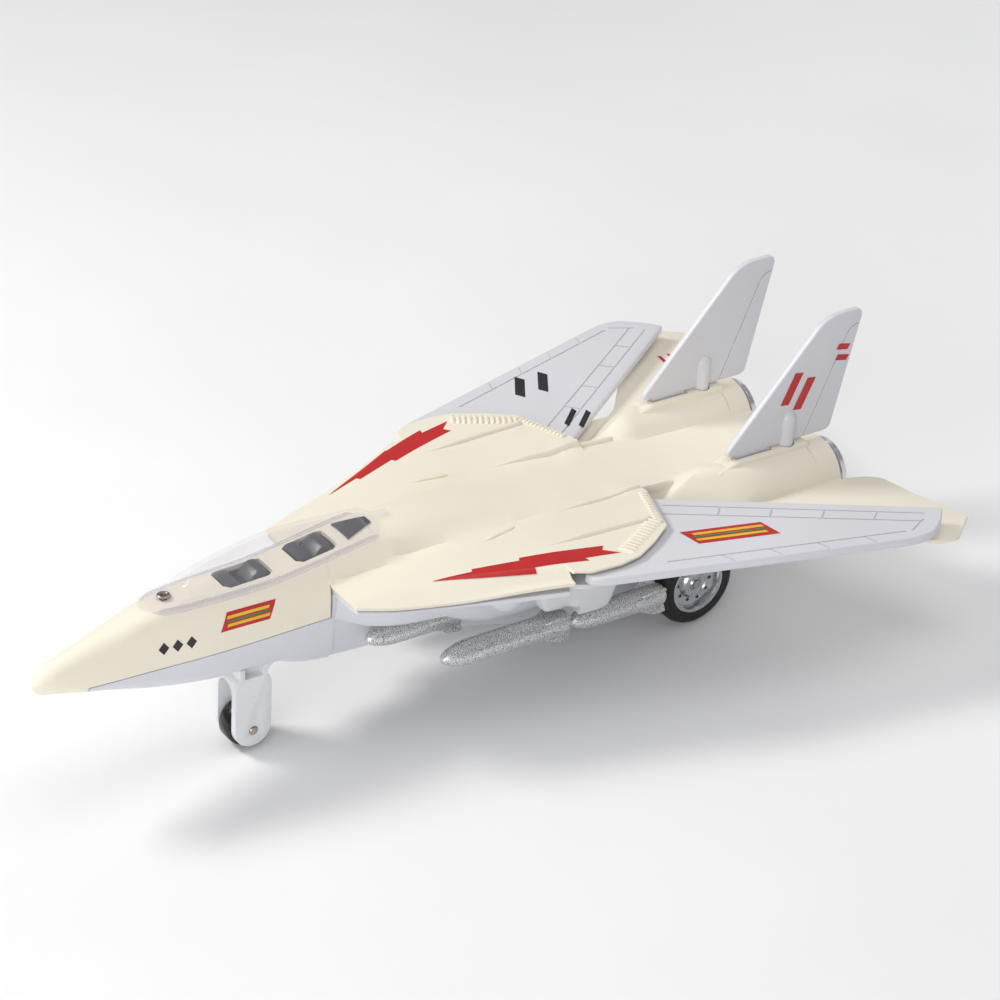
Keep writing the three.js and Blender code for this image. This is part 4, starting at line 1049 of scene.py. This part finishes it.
def missile_body(item, y):
    radius, nose, tail = item["radius"], item["nose"], item["tail"]
    tube = [(radius * math.sin(t), nose + 9 * (1 - math.cos(t))) for t in spaced(0, math.pi / 2, 18)]
    tube += [(radius, tail - 2), (radius - 0.25, tail - 0.8), (radius - 0.8, tail - 0.1),
             (radius - 1.1, tail), (0, tail)]
    return lathe(tube, lengthwise(y, item["z"]), 40)


def missile_blades(item, y):
    """Four tail fins, set between the vertical and the horizontal."""
    radius, tail = item["radius"], item["tail"]
    shape = [(tail - 9, radius - 0.6), (tail - 4.6, radius + 1.6), (tail - 1.2, radius + 1.6),
             (tail - 0.7, radius - 0.6)]
    return [prism(shape, -0.42, 0.42, turned(math.pi / 4 + k * math.pi / 2, y, item["z"])) for k in range(4)]


def make_missiles():
    for word, side in SIDES:
        for item in MISSILES:
            name = f"{word}_{item['name']}_missile"
            y = side * item["y"]
            make_piece(f"{name}_body", [missile_body(item, y)], "missile_silver", name)
            fins = make_piece(f"{name}_fins", missile_blades(item, y), "missile_silver", name)
            soften(fins, 0.25, 2)


rack_bottom = along((RACK["front"], 33), (123.5, 27.4), (127, 26.2), (130.8, 26), (132.8, 23), (136, 22.2),
                    (141, 22.2), (143.4, 24.5), (RACK["rear"], 33))


def rack_loft(y):
    roof = FLOOR_BOTTOM - GAP
    return loft([arch(s, RACK["half"], roof, roof - rack_bottom(s), -1, 3.0, 32, y)
                 for s in spaced(RACK["front"], RACK["rear"], 60)])


def make_racks():
    _, front, rear = MISSILES
    cradles = [(front, front["radius"] + 2.3), (rear, rear["radius"] + GAP)]
    for word, side in SIDES:
        y = side * RACK["y"]
        rack = make_piece(f"{word}_rack", [rack_loft(y)], "fork_plastic", f"{word}_missile_rack")
        carve(rack, [rod(room, item["nose"], item["tail"] + 2, lengthwise(y, item["z"]), 40)
                     for item, room in cradles])


# ---- nose gear
def fork_outline():
    """Side view of the fork: round at the foot, with a shoulder and a flared neck."""
    foot = arc((54.4, 6.2), 4.9, 180, 360, 28)
    return foot + outline((59.3, 17.4), ((59.2, 19.6), (58, 20.2), 5), ((58.2, 22.4), (60.6, 23.2), 6),
                          (50.6, 23.2), (50.6, 20.6), ((49.5, 19.8), (49.5, 18), 5))


def make_fork():
    fork = make_piece("nose_fork", [prism(fork_outline(), -5, 5, profile_plane)], "fork_plastic",
                      "nose_gear_fork")
    soften(fork, 0.9, 4)
    inside, top = NOSE["half"] + 0.6, 15.4
    panels = [block((52, 57), ys, (20.4, 30)) for ys in ((3, 6), (-6, -3))]
    slot = [block((40, 70), (-inside, inside), (-2, top)), rod(inside, 40, 70, lengthwise(0, top), 48)]
    pin_hole = rod(1.2, -8, 8, across(NOSE["station"], NOSE["z"]), 24)
    for cutter in [*panels, *slot, pin_hole]:
        carve(fork, [cutter])
    soften(fork, 0.22, 2, 50)


def make_nose_wheel():
    radius, half = NOSE["tyre"], NOSE["half"]
    centre = across(NOSE["station"], NOSE["z"])
    tread = [(1.3, -half), (4.6, -half), (4.9, -half + 0.15), (5.3, -half + 0.35), (radius, -half + 0.9),
             (radius, half - 0.9), (5.3, half - 0.35), (4.9, half - 0.15), (4.6, half), (1.3, half)]
    make_piece("nose_wheel_tread", [lathe(tread, centre, 64)], "nose_wheel_black", "nose_wheel",
               body="nose_roller")
    pin = [(0, -5.3), (0.9, -5.3), (1.1, -5.1), (1.1, 5.1), (0.9, 5.3), (0, 5.3)]
    make_piece("nose_pin", [lathe(pin, centre, 32)], "pin_brass", "nose_wheel_pin")


# ---- rear wheels
def wheel_part(name, profile, side, material, node, sharp=35.0):
    """A turned piece that rides the rear axle, from (radius, distance from the middle)."""
    part = lathe(on_side(side, profile), across(REAR["station"], REAR["z"]), 96)
    return make_piece(name, [part], material, node, body="rear_wheelset", sharp=sharp)


def make_tyre(word, side):
    inner, outer, radius, rim = REAR["inner"], REAR["outer"], REAR["tyre"], REAR["rim"]
    tread = [(rim + 0.1, inner), (radius - 1.4, inner), (radius - 0.5, inner + 0.3), (radius, inner + 1.2)]
    shoulder = [(0, 1.4), (0.3, 0.7), (0.9, 0.25), (1.5, 0.05), (1.9, 0.2), (2.2, 0.02)]
    tread += [(radius - drop, outer - back) for drop, back in shoulder]
    tread += [(rim + 0.5, outer), (rim + 0.1, outer - 0.1)]
    wheel_part(f"{word}_tyre_tread", tread, side, "tyre_rubber", f"{word}_tyre")


def make_rim(word, side):
    """The wheel's dished face, with a ring of small holes around the hub."""
    inner, outer, rim = REAR["inner"], REAR["outer"], REAR["rim"]
    face = [(1.35, inner - 1), (3, inner - 1), (3, inner + 0.4), (rim, inner + 0.4), (rim, outer),
            (rim - 0.35, outer + 0.08), (rim - 0.8, outer), (rim - 1, outer - 0.5), (rim - 1.2, outer - 1.6)]
    dish = [(4.3, 1.9), (3.9, 1.2), (3.5, 0.7), (2.9, 0.6), (2.6, 0.9), (1.9, 0.9), (1.6, 0.45), (1.35, 0.5)]
    face += [(r, outer - depth) for r, depth in dish]
    hub = wheel_part(f"{word}_hub", face, side, "wheel_chrome", f"{word}_rim", 25)
    holes = []
    for turn in spaced(0, 2 * math.pi, RIM_HOLES["count"])[:-1]:
        centre = across(REAR["station"] - RIM_HOLES["circle"] * math.cos(turn),
                        REAR["z"] + RIM_HOLES["circle"] * math.sin(turn))
        holes.append(rod(RIM_HOLES["radius"], side * (outer - 3.4), side * outer, centre, 16))
    carve(hub, holes, sharp=25)


def make_rear_wheels():
    for word, side in SIDES:
        make_tyre(word, side)
        make_rim(word, side)


# ---- markings
PAINT = 0.05             # how far a painted mark stands off what it lies on
STEPS = 10               # cuts along each side of a mark's triangles


def painted(shape, place):
    """A thin painted patch: a flat shape cut into small triangles, each point placed."""
    flat = [Vector((u, v, 0)) for u, v in shape]
    points = []
    faces = []
    for triangle in tessellate_polygon([flat]):
        a, b, c = (flat[i] for i in triangle)
        starts = {}
        for i in range(STEPS + 1):
            for j in range(STEPS + 1 - i):
                starts[i, j] = len(points)
                point = a + (b - a) * (i / STEPS) + (c - a) * (j / STEPS)
                points.append(place(point.x, point.y))
        for i in range(STEPS):
            for j in range(STEPS - i):
                faces.append((starts[i, j], starts[i + 1, j], starts[i, j + 1]))
                if i + j + 1 < STEPS:
                    faces.append((starts[i + 1, j], starts[i + 1, j + 1], starts[i, j + 1]))
    return points, faces


def on_deck(side):
    return lambda s, y: (-s, side * y, shell_top(s, y) + PAINT)


def on_wing(side, lift=PAINT):
    return lambda s, y: wing_local(s, side * y, lift)


def on_fin(side):
    return lambda s, z: (-s, side * (FIN_Y + FIN_THICK / 2 + PAINT), z)


def on_flank(side, lift=PAINT):
    """The side of the nose, for (station, z) outlines."""
    def place(s, z):
        share = min(max((z - seam_z(s)) / (top_z(s) - seam_z(s)), 0), 1)
        return (-s, side * (body_half(s) * dome(share, squareness(s)) + lift), z)
    return place


def oblong(centre, run, long, wide, lean):
    """Corners of a bar about a centre, along a direction, with its ends leaning."""
    length = math.hypot(*run)
    c, s = run[0] / length, run[1] / length
    corners = [(-long / 2 - lean, -wide / 2), (long / 2 - lean, -wide / 2), (long / 2 + lean, wide / 2),
               (-long / 2 + lean, wide / 2)]
    return [(centre[0] + u * c - v * s, centre[1] + u * s + v * c) for u, v in corners]


def bars(centres, run, long, wide, lean, place):
    return [painted(oblong(centre, run, long, wide, lean), place) for centre in centres]


FLASH = [(90.8, 22.8), (100.3, 25.2), (100.9, 24.3), (112.0, 27.6), (112.6, 26.6), (132.7, 32.4),
         (131.3, 33.9), (134.6, 37.0), (125.7, 34.9), (125.9, 36.3), (113.3, 32.0), (113.1, 33.3)]


def make_badge(name, centre, run, size, place, node, slot, **ride):
    """A leaning red panel with two yellow stripes and a green one, a piece for each colour."""
    long, wide = size
    length = math.hypot(*run)
    sideways = (-run[1] / length, run[0] / length)

    def stripe(offset, share, narrow, lift):
        middle = (centre[0] + sideways[0] * offset, centre[1] + sideways[1] * offset)
        return painted(oblong(middle, run, long * share, narrow, 0.2 * narrow), place(lift))
    upper = PAINT + 0.04
    stripes = {
        "red": [stripe(0, 1, wide, PAINT)],
        "yellow": [stripe(offset * wide, 0.86, 0.16 * wide, upper) for offset in (-0.22, 0.22)],
        "green": [stripe(0, 0.86, 0.1 * wide, upper)],
    }
    for colour, parts in stripes.items():
        make_piece(f"{name}_{colour}", parts, f"mark_{colour}", node, slot, **ride)


def make_side_marks(word, side):
    """The flash, the flank's panel and diamonds, and the fin's bars."""
    flash = painted(FLASH, on_deck(side))
    make_piece(f"{word}_flash", [flash], "mark_red", "upper_body", "cream_paint")
    make_badge(f"{word}_flank_panel", (51, 39.9), (1, 0.02), (12.5, 4.6), lambda lift: on_flank(side, lift),
               "upper_body", "cream_paint")
    diamonds = [painted([(s - 1.3, z), (s, z - 1.6), (s + 1.3, z), (s, z + 1.6)], on_flank(side))
                for s, z in ((29.8, 36.9), (33.2, 36.9), (36.6, 36.9))]
    make_piece(f"{word}_flank_diamonds", diamonds, "mark_black", "upper_body", "cream_paint")
    place = on_fin(side)
    parts = bars(((199.4, 66), (203.6, 63.8)), (0.42, 0.9), 9, 2.6, -0.4, place)
    parts += bars(((214.8, 74.2), (214.8, 71.2)), (0.98, -0.2), 3.8, 1.6, 0.3, place)
    make_piece(f"{word}_fin_bars", parts, "mark_red", f"{word}_fin", "wing_plastic")


def make_wing_marks():
    """A striped panel on the left wing and leaning bars on the right one."""
    make_badge("left_wing_panel", (164.6, 40.4), (0.96, 0.28), (21, 6.4), lambda lift: on_wing(1, lift),
               "left_wing", "wing_plastic", body="left_wing_arm", matrix=wing_matrix(1))
    place = on_wing(-1)
    parts = bars(((163, 45.6), (170, 45.2)), (0.55, 0.83), 9.5, 2.6, 0.6, place)
    parts += bars(((165.6, 26.6), (168.4, 24.2)), (0.75, 0.66), 8.5, 1.5, 0.5, place)
    make_piece("right_wing_bars", parts, "mark_black", "right_wing", "wing_plastic",
               body="right_wing_arm", matrix=wing_matrix(-1))


def make_markings():
    """Plain generic marks that say nothing."""
    for word, side in SIDES:
        make_side_marks(word, side)
    make_wing_marks()
    dashes = bars(((211, 47), (214, 47)), (0.2, 0.98), 4, 1.0, 0.3,
                  lambda u, v: (-u, -v, AFT_DECK + PAINT))
    make_piece("right_tailplane_bars", dashes, "mark_red", "upper_body", "cream_paint")


# ---- assembly
def dress_cad_nodes():
    """Every CAD node that shows keeps its shape and gets its slot's material."""
    for entry in frame["record"]["subparts"]:
        piece = frame["nodes"][entry["node"]]
        piece.data.materials.clear()
        piece.data.materials.append(MATERIALS[entry["material_slot"]])


def add_floor():
    reach = 3.0
    mesh = bpy.data.meshes.new("floor")
    mesh.from_pydata([(-reach, -reach, 0), (reach, -reach, 0), (reach, reach, 0), (-reach, reach, 0)], [],
                     [(0, 1, 2, 3)])
    mesh.materials.append(mottled("floor_paper", (0.86, 0.86, 0.86), (0.9, 0.9, 0.9), 8, 0.8))
    floor = add_object("floor", mesh)
    floor.location.z = -0.0002


add_camera()
add_studio()
MATERIALS = make_materials()
dress_cad_nodes()
add_floor()
make_upper_body()
make_ridges()
make_seals()
make_wings()
make_fins()
make_belly()
make_floor_plate()
make_nacelles()
make_canopy()
make_cockpit()
make_nozzles()
make_missiles()
make_racks()
make_fork()
make_nose_wheel()
make_rear_wheels()
make_markings()
